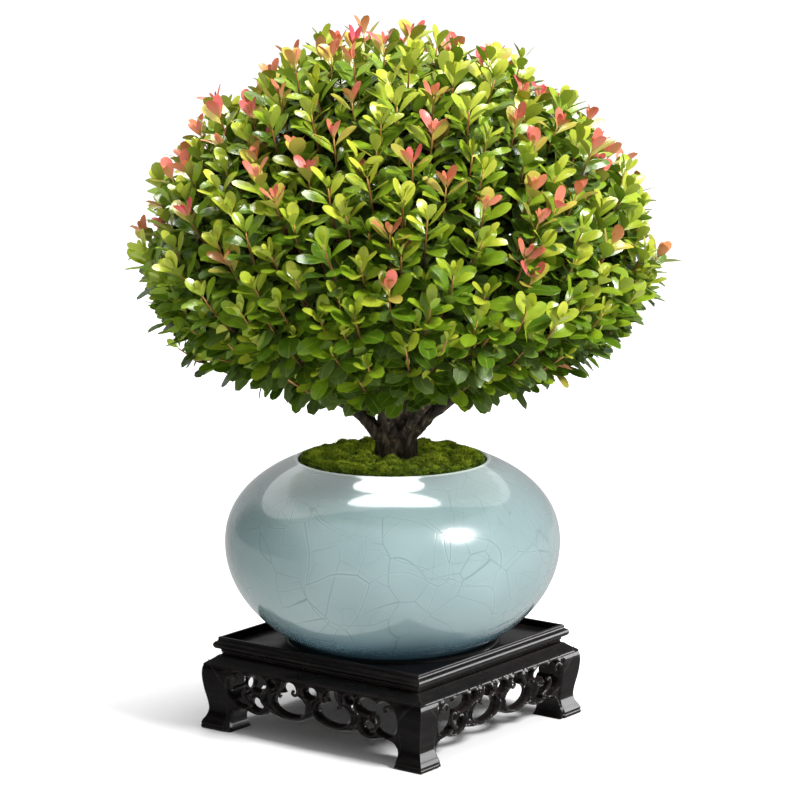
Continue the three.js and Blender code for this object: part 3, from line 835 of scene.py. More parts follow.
def boundary_edges(faces):
    """Edges that belong to one triangle only."""
    edges = np.concatenate([faces[:, [0, 1]], faces[:, [1, 2]], faces[:, [2, 0]]])
    keys = {}
    for a, b in edges.tolist():
        keys[(a, b)] = keys.get((a, b), 0) + 1
    return np.array([e for e in keys if (e[1], e[0]) not in keys])


front_flat, front_faces = net(np.concatenate([following, grid]))
back_flat, back_faces = net([])
print("apron net:", len(front_faces), "triangles in front,", len(back_faces), "behind")

# %% Four aprons with their hanging curls
CURL_SET_BACK = 0.6


def front_points(flat):
    """Places of the net's points on the carved front."""
    u, z = flat.T
    return np.stack([u, -(skirt_half(z) + carving(flat)), z], 1)


def back_points(flat):
    """Places of the net's points on the plain back, drawn in towards the leg."""
    u, z = flat.T
    drawn_in = step(np.abs(u), 66, 76) * (1 - skirt_back(z) / skirt_half(z))
    return np.stack([u * (1 - drawn_in), -skirt_back(z), z], 1)


def apron_shells():
    """The front, the back and the walls between them."""
    shells = Shells()
    shells.add(front_points(front_flat), front_faces)
    shells.add(back_points(back_flat), back_faces[:, ::-1])
    edge = boundary_edges(front_faces)
    outer_row, inner_row = front_points(front_flat), back_points(front_flat)
    rows = len(front_flat)
    walls = np.stack([edge[:, 1], edge[:, 0], edge[:, 0] + rows, edge[:, 1] + rows], 1)
    shells.add(np.concatenate([outer_row, inner_row]), walls)
    return shells


def carved_curl(line, thick, thin):
    """A curl that hangs free in an opening, as a tube on the skirt's curve with a small bead."""
    line = smooth_line(line, 6)
    depth = skirt_half(line[:, 1]) - CURL_SET_BACK
    path = np.stack([line[:, 0], -depth, line[:, 1]], 1)
    radii = np.linspace(thick, thin, len(path))
    radii[-3:] = thin * 1.3
    return tube(path, radii, 10)


half_free_curls = [
    ([(20.4, 39.6), (21.6, 36.4), (23.6, 33.6), (23.8, 31.0), (22.2, 30.0)], 1.5, 1.0),
    ([(8.4, 37.6), (8.6, 34.4), (11.2, 32.4), (13.2, 33.6), (12.2, 35.2)], 1.2, 0.8),
    ([(46.0, 19.6), (50.0, 22.4), (52.8, 26.6), (51.0, 30.0), (48.6, 29.0)], 1.6, 0.9),
    ([(63.6, 35.6), (60.4, 37.4), (57.4, 35.6), (57.8, 33.2)], 1.3, 0.8),
]
for side, side_name in enumerate(SIDES):
    shells = apron_shells()
    for line, thick, thin in half_free_curls:
        for mirror in (1, -1):
            shells.add(*carved_curl([(mirror * a, b) for a, b in line], thick, thin))
    shells.points = [quarter_turn(points, side) for points in shells.points]
    make_piece(f"apron_{side_name}", shells, [blackwood], "blackwood", CARVED_CREASE)

# %% [markdown]
# ## Legs
# A leg is a corner post whose two outer faces carry the skirt's profile, and whose inner edge follows
# the arch. It could be cut from a square bar, but the carving has to run on across the joint. So it is
# a loft of closed rings, one for each height. Every ring runs from the inner corner out to the joint,
# along one carved face to the arris, back along the other face and home. A plain post stands behind.

# %% Rings of a leg
def inner_edge(z):
    """Where a leg's face begins at each height: at the arch, the joint or the opening."""
    down_the_leg = arch_half[4 * CURVE_STEPS + 1:]
    order = np.argsort(down_the_leg[:, 1])
    from_arch = np.interp(z, down_the_leg[order, 1], down_the_leg[order, 0], right=0)
    across, height, half_width, half_height = half_ovals[OVAL_BESIDE_LEG]
    share = np.clip(1 - ((z - height) / half_height) ** 2, 0, 1)
    from_oval = np.where(np.abs(z - height) < half_height, across + half_width * np.sqrt(share), 0)
    return np.maximum.reduce([from_arch, from_oval, joint_at(z)]) + HAIRLINE


FACE_COLUMNS, WALL_COLUMNS = 31, 5
leg_heights = np.concatenate([
    [0, 0.5, 1.0, 1.6, 2.1, 2.5, 2.9, 3.4, 4.2, 5.2], np.arange(6.2, 45.3, 0.8),
])
face_shares = (np.arange(FACE_COLUMNS) / (FACE_COLUMNS - 1)) ** 1.4
wall_shares = np.arange(WALL_COLUMNS) / WALL_COLUMNS
rings = []
for z in leg_heights:
    edge, half = float(inner_edge(z)), float(skirt_half(z))
    half = max(half, edge + 0.2)
    u = edge + (half - edge) * face_shares
    stands_out = carving(np.stack([u, np.full(FACE_COLUMNS, z)], 1)) * step(half - u, 0, 1.5)
    depth = half + stands_out
    wall = edge + (depth[0] - edge) * wall_shares
    loop = [*[(edge, -w) for w in wall], *zip(u, -depth), *zip(depth[-2::-1], -u[-2::-1]),
            *[(w, -edge) for w in wall[:0:-1]]]
    rings.append(np.array([(x, y, z) for x, y in loop]))
leg_points = np.concatenate([*rings, [rings[0].mean(0)], [rings[-1].mean(0)]])
leg_faces = tube_faces(len(rings), len(rings[0]))
print("leg:", len(rings), "rings of", len(rings[0]), "points")

# %% The post behind, and four legs
BEVEL = 0.4
POST_FOOT, POST_HEAD = 18, 43.6
CORNERS = ["front_right", "back_right", "back_left", "front_left"]

corners = np.array([[66, -79], [79, -79], [79, -66], [66, -66]], float)
inward = BEVEL * np.array([[1, 1], [-1, 1], [-1, -1], [1, -1]])
post = np.concatenate([
    np.column_stack([corners + pull * inward, np.full(4, z)])
    for z, pull in ((POST_FOOT, 1), (18.4, 0), (43.2, 0), (POST_HEAD, 1))
] + [[[72.5, -72.5, POST_FOOT]], [[72.5, -72.5, POST_HEAD]]])
for side, corner_name in enumerate(CORNERS):
    shells = Shells()
    shells.add(quarter_turn(leg_points, side), leg_faces)
    shells.add(quarter_turn(post, side), tube_faces(4, 4))
    make_piece(f"leg_{corner_name}", shells, [blackwood], "blackwood", CARVED_CREASE)

# %% [markdown]
# ## Crackle
# A crackle comes when the glaze shrinks more than the clay, and tears into large curved cells. The
# lines could be drawn on a map, but then they would stretch at the poles of the globe. A pattern of
# scattered cells, bent by noise, fills space and has no poles. The group gives a thin line along the
# border of each cell, and a wider halo around it. Its sizes are in millimetres.

# %% The crackle group
crackle, inner, outer = new_group(
    "crackle",
    [("Cell", FLOAT, 25), ("Width", FLOAT, 0.3), ("Bend", FLOAT, 6), ("Shift", VECTOR, (0, 0, 0))],
    [("Line", FLOAT), ("Halo", FLOAT)],
)
cell_size = inner.outputs["Cell"]
in_mm = shifted(crackle, "SCALE", put(crackle, "ShaderNodeTexCoord").outputs["Object"], 1000.0)
moved = shifted(crackle, "ADD", in_mm, inner.outputs["Shift"])
wander = put(crackle, "ShaderNodeTexNoise", {"Vector": moved, "Scale": 0.016, "Detail": 0.6})
centred = shifted(crackle, "SUBTRACT", wander.outputs["Color"], (0.5, 0.5, 0.5))
bent = shifted(crackle, "ADD", moved, shifted(crackle, "SCALE", centred, inner.outputs["Bend"]))
shrunk = shifted(crackle, "SCALE", bent, combined(crackle, "DIVIDE", 1.0, cell_size))
cells = put(crackle, "ShaderNodeTexVoronoi", {
    "Vector": shrunk, "Scale": 1.0, "Randomness": 1.0,
}, feature="DISTANCE_TO_EDGE")
away = combined(crackle, "MULTIPLY", cells.outputs["Distance"], cell_size)
for label, reach in (("Line", 1.0), ("Halo", 2.6)):
    half_width = combined(crackle, "MULTIPLY", inner.outputs["Width"], reach)
    crackle.links.new(band(crackle, away, 0.0, half_width, 1.0, 0.0), outer.inputs[label])
print("crackle:", len(crackle.nodes), "nodes")

# %% [markdown]
# ## Celadon glaze
# The pot wears a thick grey-green celadon, cool and milky. It could be real glass over clay, but the
# milk in it hides that depth, so a clouded colour under a smooth clear coat is enough. Wide cells are
# crossed by others and by finer, fainter ones, each fading out in patches. A crack is a shallow groove
# with a dark line, in a paler band that is a painted highlight for light caught along the crack. The
# glaze is thin and pale on the lip. Low down it is painted darker and bluer: partly the glaze pooling
# there, and partly painted shade and a painted reflection of the dark stand.

# %% The glaze
def dimmed(tree, value, by):
    """One mask times another mask or number."""
    return put(tree, "ShaderNodeMath", {0: value, 1: by}, operation="MULTIPLY").outputs[0]


def patches(tree, scale, low, high):
    """A mask that comes and goes, and never falls below zero."""
    fading = use_group(tree, clouds, Scale=scale, Low=low, High=high).outputs["Value"]
    return combined(tree, "MAXIMUM", fading, 0.0)


celadon, tree, shader = new_material("crackled_celadon")
wide_cells = use_group(tree, crackle, Cell=36.0, Width=0.5, Bend=46.0).outputs
cross_cells = use_group(tree, crackle, Cell=31.0, Width=0.45, Bend=42.0, Shift=(170.0, 60.0, 35.0)).outputs
fine_cells = use_group(tree, crackle, Cell=15.0, Width=0.32, Bend=26.0, Shift=(40.0, 310.0, 90.0)).outputs
wide_patches = use_group(tree, clouds, Scale=22.0, Low=0.3, High=1.2).outputs["Value"]
wide_line = combined(
    tree, "MAXIMUM", dimmed(tree, wide_cells["Line"], wide_patches),
    dimmed(tree, cross_cells["Line"], patches(tree, 31.0, -0.1, 1.1)),
)
fine_line = dimmed(tree, fine_cells["Line"], patches(tree, 27.0, -0.3, 0.8))
crack_highlight = dimmed(tree, wide_cells["Halo"], wide_patches)

milk = use_group(tree, clouds, Scale=16.0).outputs["Value"]
body = blend_colours(tree, milk, (0.155, 0.222, 0.227), (0.192, 0.266, 0.268))
# A paler band round each wide crack: a painted highlight, standing for light caught along the crack.
body = blend_colours(tree, dimmed(tree, crack_highlight, 0.22), body, (0.30, 0.39, 0.385))
body = blend_colours(tree, dimmed(tree, wide_line, 0.5), body, (0.05, 0.085, 0.088))
body = blend_colours(tree, dimmed(tree, fine_line, 0.35), body, (0.08, 0.125, 0.125))
height = put(tree, "ShaderNodeTexCoord").outputs["Object"]
height = put(tree, "ShaderNodeSeparateXYZ", {0: height}).outputs["Z"]
body = blend_colours(tree, band(tree, height, 0.1678, 0.1684), body, (0.40, 0.47, 0.43))
# Darker and bluer low down: partly glaze pooling, partly painted shade and a painted reflection of the
# dark stand.
body = blend_colours(tree, band(tree, height, 0.084, 0.057), body, (0.064, 0.130, 0.170))
groove = combined(tree, "MAXIMUM", wide_line, fine_line)
fill_sockets(tree, shader, {
    "Base Color": body, "Roughness": 0.22, "IOR": 1.6,
    "Coat Weight": 1.0, "Coat Roughness": 0.03, "Coat IOR": 1.75,
    "Normal": tilted_normal(tree, groove, 0.6, 0.0001, invert=True),
})
print("finish:", celadon.name)

# %% [markdown]
# ## The pot
# A thrown pot is a turned form. A ball could be scaled and cut open, but a profile swept round the
# axis is the exact way to make it. The outside is two half-ovals that meet at the widest point, the
# upper one a little fuller. The lip is rounded, the inside follows the wall, and the foot is a low ring.

# %% Turn the pot
POT_RADIUS, POT_WAIST = 104.7, 116.0
POT_SIDES = 208
REACH_UP, REACH_DOWN = 61.5, 75.5
HEIGHT_ABOVE, DEPTH_BELOW = 50.2, 59.6
WALL = 6.0
FOOT_TOP, LIP_FOOT = 56.6, 166.0


def turned(profile, sides):
    """A closed ring of faces from a closed profile of (radius, height) points."""
    profile = np.asarray(profile, float)
    turn = full_turn(sides)
    rings = profile[:, None, :1] * np.stack([np.cos(turn), np.sin(turn)], 1)[None]
    heights = np.broadcast_to(profile[:, None, 1:], (len(profile), sides, 1))
    points = np.concatenate([rings, heights], 2).reshape(-1, 3)
    return points, ring_quads(len(profile), sides, closed=True)


def globe(height, wall=0.0):
    """The pot's radius at a height, outside or inside its wall."""
    above = height > POT_WAIST
    reach = (REACH_UP if above else REACH_DOWN) - wall
    power = 2.2 if above else 2.0
    share = min(1.0, abs(height - POT_WAIST) / reach)
    return (POT_RADIUS - wall) * (1 - share ** power) ** (1 / power)


below_waist = POT_WAIST + DEPTH_BELOW * np.sin(np.radians(np.linspace(-88, 0, 44)))
above_waist = POT_WAIST + HEIGHT_ABOVE * np.sin(np.radians(np.linspace(2, 90, 40)))
outside = [(globe(z), z) for z in (*below_waist, *above_waist) if FOOT_TOP <= z < LIP_FOOT]
lip_line = smooth_line([
    (globe(LIP_FOOT), LIP_FOOT), (61.6, 167.9), (60.3, 168.7), (59.2, 168.6), (58.5, 167.6),
    (58.4, 165.5), (59.2, 162.0),
], 4)
inside = [(globe(z, WALL), z) for z in np.linspace(159, 72, 16)]
pot_profile = [
    (6.0, 57.6), (51.4, 57.6), (52.2, 56.8), (52.6, 54.9), (53.4, 54.3), (58.6, 54.3), (59.4, 54.8),
    *outside, *lip_line, *inside, (58.0, 63.4), (54.0, 63.0), (6.0, 63.0),
]
pot = Shells()
pot.add(*turned(pot_profile, POT_SIDES))
pot_piece = make_piece("pot", pot, [celadon], "celadon", GLAZED_CREASE)

# %% [markdown]
# ## Soil and moss finishes
# The soil only has to be there under the moss, so its solid stays and gets an earthy finish. Moss is
# yellow-green at its tips and darker lower down, and its pits are painted darker still, as painted
# shade. A colour could be painted on each stem, but there are thousands. So the mesh carries a value,
# growth, which runs from pit to tip and holds that painted shade too, and the finish turns that into
# colour, fresh in some patches and olive in others.

# %% Earth and moss finishes
earth, tree, shader = new_material("damp_earth")
grit = use_group(tree, clouds, Scale=260.0).outputs["Value"]
fill_sockets(tree, shader, {
    "Base Color": blend_colours(tree, grit, (0.012, 0.008, 0.005), (0.05, 0.032, 0.02)),
    "Roughness": 0.95, "Normal": tilted_normal(tree, grit, 0.8, 0.001),
})
soil_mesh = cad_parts["soil"].data
soil_mesh.materials.clear()
soil_mesh.materials.append(earth)


def carried(tree, name):
    """The three parts of a value that the mesh carries."""
    value = put(tree, "ShaderNodeAttribute", attribute_name=name).outputs["Vector"]
    return put(tree, "ShaderNodeSeparateXYZ", {0: value}).outputs


moss_green, tree, shader = new_material("moss")
patch = use_group(tree, clouds, Scale=45.0).outputs["Value"]
grain = use_group(tree, clouds, Scale=900.0, Low=-0.12, High=0.12).outputs["Value"]
# The growth value is partly painted shade: low values, in the pits and at the stems' feet, are painted
# dark.
tone = combined(tree, "ADD", carried(tree, "growth")["X"], grain)
fresh = colour_ramp(tree, tone, [
    (0.0, (0.012, 0.022, 0.002)), (0.3, (0.075, 0.14, 0.007)), (0.6, (0.25, 0.38, 0.014)),
    (1.0, (0.56, 0.66, 0.04)),
])
olive = colour_ramp(tree, tone, [
    (0.0, (0.012, 0.018, 0.002)), (0.4, (0.095, 0.14, 0.007)), (1.0, (0.38, 0.44, 0.03)),
])
fill_sockets(tree, shader, {
    "Base Color": blend_colours(tree, patch, olive, fresh), "Roughness": 0.8, "Specular IOR Level": 0.15,
})
print("finishes:", earth.name, moss_green.name)

# %% [markdown]
# ## The moss carpet
# The moss is a carpet of small cushions with dark pits between them. Hair particles could grow it, but
# their strands are thin lines, and the cushions need a body. So the carpet is a ring of points round
# the foot of the trunk, lifted by layered noise and closed underneath.

# %% The carpet
TREE_X, TREE_Y = 2.2, 1.6
MOSS_EDGE, MOSS_HOLE = 57.7, 12.0
MOSS_TOP, MOSS_UNDERSIDE = 167.6, 158.5
CARPET_RINGS, CARPET_SIDES = 40, 200


def moss_lift(x, y, share):
    """Height of the carpet above the lip at a place, in millimetres."""
    spot = Vector((x, y, 0))
    cushions = noise.noise(spot / 10.5) * 3.8 + noise.noise(spot / 4.2) * 1.7
    cushions += 0.3 * noise.noise(spot / 1.6)
    return 2.4 - 2.2 * share ** 6 + cushions * (1.1 - 0.7 * share ** 8)


shares = np.linspace(0, 1, CARPET_RINGS)
turns = full_turn(CARPET_SIDES)
circle = np.stack([np.cos(turns), np.sin(turns)], 1)
inner_ring = (TREE_X, TREE_Y) + MOSS_HOLE * circle
outer_ring = MOSS_EDGE * circle
top = inner_ring[None] + (outer_ring - inner_ring)[None] * shares[:, None, None]
lift = np.array([[moss_lift(*p, share) for p in ring] for ring, share in zip(top, shares)])
carpet = [*np.concatenate([top, (MOSS_TOP + lift)[..., None]], 2)]
for ring in (outer_ring, inner_ring):
    carpet.append(np.column_stack([ring, np.full(CARPET_SIDES, MOSS_UNDERSIDE)]))
carpet = np.concatenate(carpet)
moss = Shells()
moss.add(carpet, ring_quads(CARPET_RINGS + 2, CARPET_SIDES, closed=True))
# Points low in the pits get a darker tone: painted shade, on top of the older growth's own darker colour.
pit_to_top = np.clip(0.05 + 0.11 * (carpet[:, 2] - MOSS_TOP), 0, 0.5)
moss_growth_and_shade = [np.stack([pit_to_top] * 3, 1)]
print("carpet:", len(carpet), "points, up to", round(float(lift.max()), 1), "mm above its foot")

# %% [markdown]
# ## Moss stems
# Up close, moss is thousands of tiny leafy stems. Copies of one stem would be light, but they have to
# lean and grow unlike each other. So each is made as a small star of pointed blades with its own lean.

# %% The stems
STEMS = 9000
BLADES = 5
rng = np.random.default_rng(11)
radius = np.sqrt(rng.uniform((15.0 / MOSS_EDGE) ** 2, 1, STEMS)) * (MOSS_EDGE - 0.9)
angle = rng.uniform(0, 2 * np.pi, STEMS)
roots = np.stack([radius * np.cos(angle), radius * np.sin(angle)], 1)
from_tree = np.hypot(roots[:, 0] - TREE_X, roots[:, 1] - TREE_Y)
roots = roots[from_tree > 13.0]
stem_faces = np.array([[0, 1 + 2 * b, 2 + 2 * b] for b in range(BLADES)])
for x, y in roots:
    share = (np.hypot(x, y) - MOSS_HOLE) / (MOSS_EDGE - MOSS_HOLE)
    cushion = moss_lift(x, y, share)
    base = np.array([x, y, MOSS_TOP + 0.2 + cushion])
    tall = rng.uniform(1.4, 2.9)
    tilt = rng.normal(0, 0.32, 2)
    axis = np.array([tilt[0], tilt[1], 1.0])
    start = rng.uniform(0, 2 * np.pi)
    points = [base - axis * 0.6]
    for b in range(BLADES):
        turn = start + 2 * np.pi * b / BLADES
        out = np.array([math.cos(turn), math.sin(turn), 0])
        across = np.array([-out[1], out[0], 0])
        tip = base + axis * tall * (1.0 if b == 0 else 0.72) + out * (0.5 + tall * 0.4)
        points += [base + out * 0.25 + across * 0.3 + axis * 0.3 * tall, tip]
    if np.hypot(tip[0], tip[1]) > MOSS_EDGE:
        continue
    moss.add(points, stem_faces)
    # High cushions and stem tips are painted lighter and each stem's foot darker: painted light and shade,
    # on top of the fresher tips' own colour.
    tone = np.clip(0.22 + 0.13 * cushion + rng.normal(0, 0.13), 0.06, 1)
    rows = np.full((1 + 2 * BLADES, 3), tone)
    rows[0] *= 0.4
    rows[2::2] *= 1.25
    moss_growth_and_shade.append(rows)
moss_piece = make_piece("moss", moss, [moss_green], "moss", values={"growth": np.concatenate(moss_growth_and_shade)})
for lit in (pot_piece, moss_piece):
    pot_only.objects.link(lit)
print("stems:", len(moss_growth_and_shade) - 1)

# %% [markdown]
# ## Bark
# An old trunk of this species flakes in long grey-brown plates with dark furrows between them. Bark
# could be all relief or all colour, but relief alone looks like clay, and colour alone looks painted.
# So the deep furrows are in the mesh itself, and the finish adds the fine ones. They run up the trunk,
# so the shared streaks are stretched along Z, and a patchy cloud sets where the bark is worn pale.

# %% The bark material
bark, tree, shader = new_material("furrowed_bark")
furrow = use_group(tree, streaks, Scale=330.0, Squeeze=(1.0, 1.0, 0.28), Detail=6.0).outputs["Value"]
plate = use_group(tree, clouds, Scale=120.0).outputs["Value"]
dark = colour_ramp(tree, furrow, [
    (0.32, (0.006, 0.004, 0.003)), (0.5, (0.032, 0.021, 0.014)), (0.68, (0.095, 0.066, 0.045)),
])
pale = colour_ramp(tree, furrow, [
    (0.34, (0.012, 0.008, 0.005)), (0.52, (0.075, 0.055, 0.032)), (0.7, (0.24, 0.185, 0.115)),
])
fill_sockets(tree, shader, {
    "Base Color": blend_colours(tree, plate, dark, pale), "Roughness": 0.85,
    "Normal": tilted_normal(tree, furrow, 0.9, 0.0012),
})
print("finish:", bark.name)

# %% [markdown]
# ## Where the limbs run
# The trunk is short and stout, fluted where its roots enter the moss, and divides low down. One limb
# rises inside the crown to each of its leafy heads, and ten thin ones spread out below them. A tree
# generator could grow such a fork, but the limbs have to end where the heads are. So each limb is a
# smooth line through a few places between the trunk and its head.

# %% Heads of the crown and lines to them
CROWN_MIDDLE, CROWN_RADIUS, CROWN_RISE, CROWN_DROP = 287.0, 161.0, 146.0, 92.0
HEADS, HEAD_SHARE = 14, 0.64
CENTRE = np.array([TREE_X, TREE_Y, CROWN_MIDDLE])
FORK_FOOT = 186.0


def draw(number):
    """A number between 0 and 1, always the same one for the same input."""
    wide = math.sin(number * 12.9898) * 43758.5453
    return wide - math.floor(wide)


def around(number, width):
    """A number around 0, at most that width away from it."""
    return (draw(number) - 0.5) * 2 * width


def unit(azimuth, elevation):
    """A direction of length 1 from two angles."""
    flat = np.cos(elevation)
    return np.stack([flat * np.cos(azimuth), flat * np.sin(azimuth), np.sin(elevation)], -1)


def crown_place(direction, share):
    """A place in the crown. The share counts outward, and 1 is the dome that the tips reach."""
    direction = np.asarray(direction, float)
    tall = np.where(direction[..., 2:] > 0, CROWN_RISE, CROWN_DROP)
    size = np.concatenate([np.full_like(tall, CROWN_RADIUS), np.full_like(tall, CROWN_RADIUS), tall], -1)
    return CENTRE + direction * size * np.asarray(share, float)[..., None]


def normalised(vectors):
    """The same directions, each of length 1."""
    return vectors / (np.linalg.norm(vectors, axis=-1, keepdims=True) + 1e-12)


head_directions = [unit(0.0, math.pi / 2)]
for i in range(5):
    head_directions.append(unit(math.radians(72 * i + 20 + around(i + 1, 7)),
                                math.radians(36 + around(i + 30, 4))))
for i in range(8):
    head_directions.append(unit(math.radians(45 * i + around(i + 60, 6)),
                                math.radians(-14 + around(i + 90, 5))))
heads = crown_place(np.array(head_directions), np.full(HEADS, HEAD_SHARE))


def limb_line(index):
    """The middle line of the limb to a head."""
    middle = heads[index]
    aside = (middle - CENTRE) * (1, 1, 0)
    reach = np.linalg.norm(aside)
    aside = aside / reach if reach > 1 else np.zeros(3)
    start = np.array([TREE_X, TREE_Y, FORK_FOOT + 3 * (index % 5)])
    low = start + aside * 9 + (0, 0, 13)
    inner_place = np.array([TREE_X, TREE_Y, low[2] + 0.62 * (middle[2] - low[2])]) + 0.46 * reach * aside
    tip = inner_place + 0.85 * (middle - inner_place)
    return smooth_line([start, low, inner_place, tip], 10)


limb_lines = [limb_line(i) for i in range(HEADS)]
print("heads:", len(heads), "limb lengths:", [
    round(float(np.linalg.norm(np.diff(line, axis=0), axis=1).sum())) for line in limb_lines])

# %% [markdown]
# ## Bole and fork
# Limbs grow out of the bole without a seam. Tubes that only cross would show a hard line there, and a
# boolean would keep it. So the tubes for the bole and the near part of each limb are joined by a voxel
# remesh, which melts them together. Then every point moves out or in by ridged noise that is drawn
# out along the trunk. Further out, the limbs are plain tubes.

# %% Tubes of bole and limbs
BOLE_SIDES = 48
NEAR_RINGS, NEAR_RINGS_LOW = 14, 14
LOW_LIMBS = 10
limb_radii = np.linspace(6.4, 3.0, len(limb_lines[0]))
wood = Shells()
bole_levels = smooth_line([
    (126, 12.8, 0), (150, 13.4, 0), (163, 13.9, 0.02), (168, 13.9, 0.06), (174, 12.9, 0.09),
    (185, 11.9, 0.1), (194, 12.0, 0.08), (203, 9.8, 0.05), (212, 5.2, 0.0),
], 4)
turn = full_turn(BOLE_SIDES)
bole_rings = []
for z, radius, flute in bole_levels:
    out = radius * (1 + flute * np.sin(5 * turn + z / 20))
    bole_rings.append(level_ring(out, turn, z) + (TREE_X, TREE_Y, 0))
ends = [bole_rings[0].mean(0)], [bole_rings[-1].mean(0)]
wood.add(np.concatenate([*bole_rings, *ends]), tube_faces(len(bole_rings), BOLE_SIDES))
for line in limb_lines:
    wood.add(*tube(line[:NEAR_RINGS], limb_radii[:NEAR_RINGS], 16))

low_lines = []
for i in range(LOW_LIMBS):
    heading_out = unit(math.radians(36 * i + 36.8 + around(i + 200, 9)), 0.0)
    steps = [(3, 178), (13, 186 + around(i + 220, 3)), (26, 198), (48, 213 + around(i + 240, 5)),
             (78, 232), (104, 252 + around(i + 260, 8))]
    line = smooth_line([CENTRE * (1, 1, 0) + heading_out * r + (0, 0, z) for r, z in steps], 5)
    low_lines.append(line)
    wood.add(*tube(line[:NEAR_RINGS_LOW], np.linspace(4.6, 2.6, NEAR_RINGS_LOW), 14))
print("tubes before the melt:", 1 + len(limb_lines) + len(low_lines))

# %% Melt them together
VOXEL = 0.95 * MM

rough = bpy.data.meshes.new("rough_fork")
rough.from_pydata(np.concatenate(wood.points) * MM, [], wood.faces)
helper = bpy.data.objects.new("rough_fork", rough)
scene.collection.objects.link(helper)
melt = helper.modifiers.new("melt", "REMESH")
melt.mode, melt.voxel_size = "VOXEL", VOXEL
ease = helper.modifiers.new("ease", "SMOOTH")
ease.factor, ease.iterations = 0.5, 4
melted = helper.evaluated_get(bpy.context.evaluated_depsgraph_get()).to_mesh()
fork_points = np.empty(len(melted.vertices) * 3)
melted.vertices.foreach_get("co", fork_points)
fork_normals = np.empty(len(melted.vertices) * 3)
melted.vertices.foreach_get("normal", fork_normals)
fork_points, fork_normals = fork_points.reshape(-1, 3) / MM, fork_normals.reshape(-1, 3)
fork_faces = np.array([list(face.vertices) for face in melted.polygons if len(face.vertices) == 4])
bpy.data.objects.remove(helper)
print("fork:", len(fork_points), "points")

# %% Furrow the bark and add the far limbs
def bark_depth(point):
    """How far the bark stands out at a place, in millimetres."""
    x, y, z = point
    plates = noise.ridged_multi_fractal(Vector((x / 5.0, y / 5.0, z / 15.0)), 1.0, 2.1, 4, 0.9, 2.0)
    lumps = noise.noise(Vector((x / 9, y / 9, z / 14)))
    return 1.0 * (plates - 1.2) + 1.1 * lumps


moved = np.array([bark_depth(p) for p in fork_points])
moved *= np.clip((fork_points[:, 2] - 160) / 6, 0, 1)
moved *= np.clip(1.3 - np.hypot(fork_points[:, 0] - TREE_X, fork_points[:, 1] - TREE_Y) / 50, 0.3, 1)
trunk = Shells()
trunk.add(fork_points + fork_normals * moved[:, None], fork_faces)
overlap = 4
for line in limb_lines:
    first = NEAR_RINGS - overlap
    trunk.add(*tube(line[first:], np.maximum(limb_radii[first:] - 0.5, 2.2), 10))
for line in low_lines:
    first = NEAR_RINGS_LOW - overlap
    trunk.add(*tube(line[first:], np.linspace(2.8, 1.0, len(line) - first), 9))
make_piece("trunk_and_limbs", trunk, [bark], "bark")

# %% [markdown]
# ## Leaf finish
# The leaves are small, thick and leathery: deep green and very glossy when old, lime when young, and
# the newest pairs of a shoot open pink over a yellow base. Each leaf has a fine pale midrib, a thin
# yellow-green margin and a dull paler underside, and lets some light through. A picture of a leaf
# could give that, in many versions. Here one material does for every leaf, because it reads two values
# that the mesh carries: where a point lies on its blade, and how old, how pink and which way up the
# blade is. The value for age also carries painted shade: leaves low in the crown and deep inside it
# are painted darker, and those high up lighter.

# %% The leaf material
leaf, tree, shader = new_material("leathery_leaf")
blade, growth = carried(tree, "blade"), carried(tree, "growth")
across = combined(tree, "ABSOLUTE", blade["X"])
mottle = use_group(tree, clouds, Scale=230.0, Low=-0.05, High=0.05).outputs["Value"]
# Growth X is the leaf's age with painted shade mixed in, so this ramp also paints leaves low and deep in
# the crown darker, and high ones lighter.
green = colour_ramp(tree, combined(tree, "ADD", growth["X"], mottle), [
    (0.0, (0.010, 0.030, 0.003)), (0.25, (0.035, 0.085, 0.006)), (0.5, (0.105, 0.215, 0.010)),
    (0.75, (0.29, 0.44, 0.018)), (1.0, (0.58, 0.62, 0.055)),
])
pink = colour_ramp(tree, blade["Y"], [
    (0.0, (0.70, 0.48, 0.12)), (0.22, (0.86, 0.30, 0.26)), (0.55, (0.88, 0.14, 0.22)),
    (1.0, (0.74, 0.04, 0.11)),
])
base = blend_colours(tree, growth["Y"], green, pink)
midrib = band(tree, across, 0.10, 0.02)
margin = band(tree, across, 0.88, 0.98, 0.0, 0.55)
not_pink = combined(tree, "SUBTRACT", 1.0, growth["Y"])
lines = dimmed(tree, combined(tree, "MAXIMUM", dimmed(tree, midrib, 0.45), margin), not_pink)
base = blend_colours(tree, lines, base, (0.40, 0.46, 0.06))
underside = band(tree, growth["Z"], 0.6, 0.4)
base = blend_colours(tree, dimmed(tree, dimmed(tree, underside, 0.4), not_pink), base, (0.17, 0.26, 0.05))
gloss = use_group(tree, clouds, Scale=90.0, Low=0.17, High=0.34).outputs["Value"]
slant = combined(tree, "ADD", blade["Y"], dimmed(tree, across, -0.32))
veins = combined(tree, "SINE", dimmed(tree, slant, 62.0))
relief = combined(tree, "SUBTRACT", dimmed(tree, veins, 0.12), midrib)
fill_sockets(tree, shader, {
    "Base Color": base, "Roughness": combined(tree, "ADD", gloss, dimmed(tree, underside, 0.3)),
    "Coat Weight": 0.35, "Coat Roughness": 0.14,
    "Normal": tilted_normal(tree, relief, 0.35, 0.0002),
})
through = put(tree, "ShaderNodeBsdfTranslucent", {
    "Color": blend_colours(tree, growth["Y"], (0.34, 0.50, 0.01), (0.85, 0.16, 0.21)),
})
mixed = put(tree, "ShaderNodeMixShader", {0: 0.2, 1: shader.outputs[0], 2: through.outputs[0]})
fill_sockets(tree, tree.nodes["Material Output"], {"Surface": mixed.outputs[0]})
print("finish:", leaf.name)

# %% [markdown]
# ## Twig finish
# A twig is dark brown where it is old and reddish to straw-coloured near the tip. Each twig could have
# a colour of its own, but the change runs along it. So the same growth value steers a ramp.

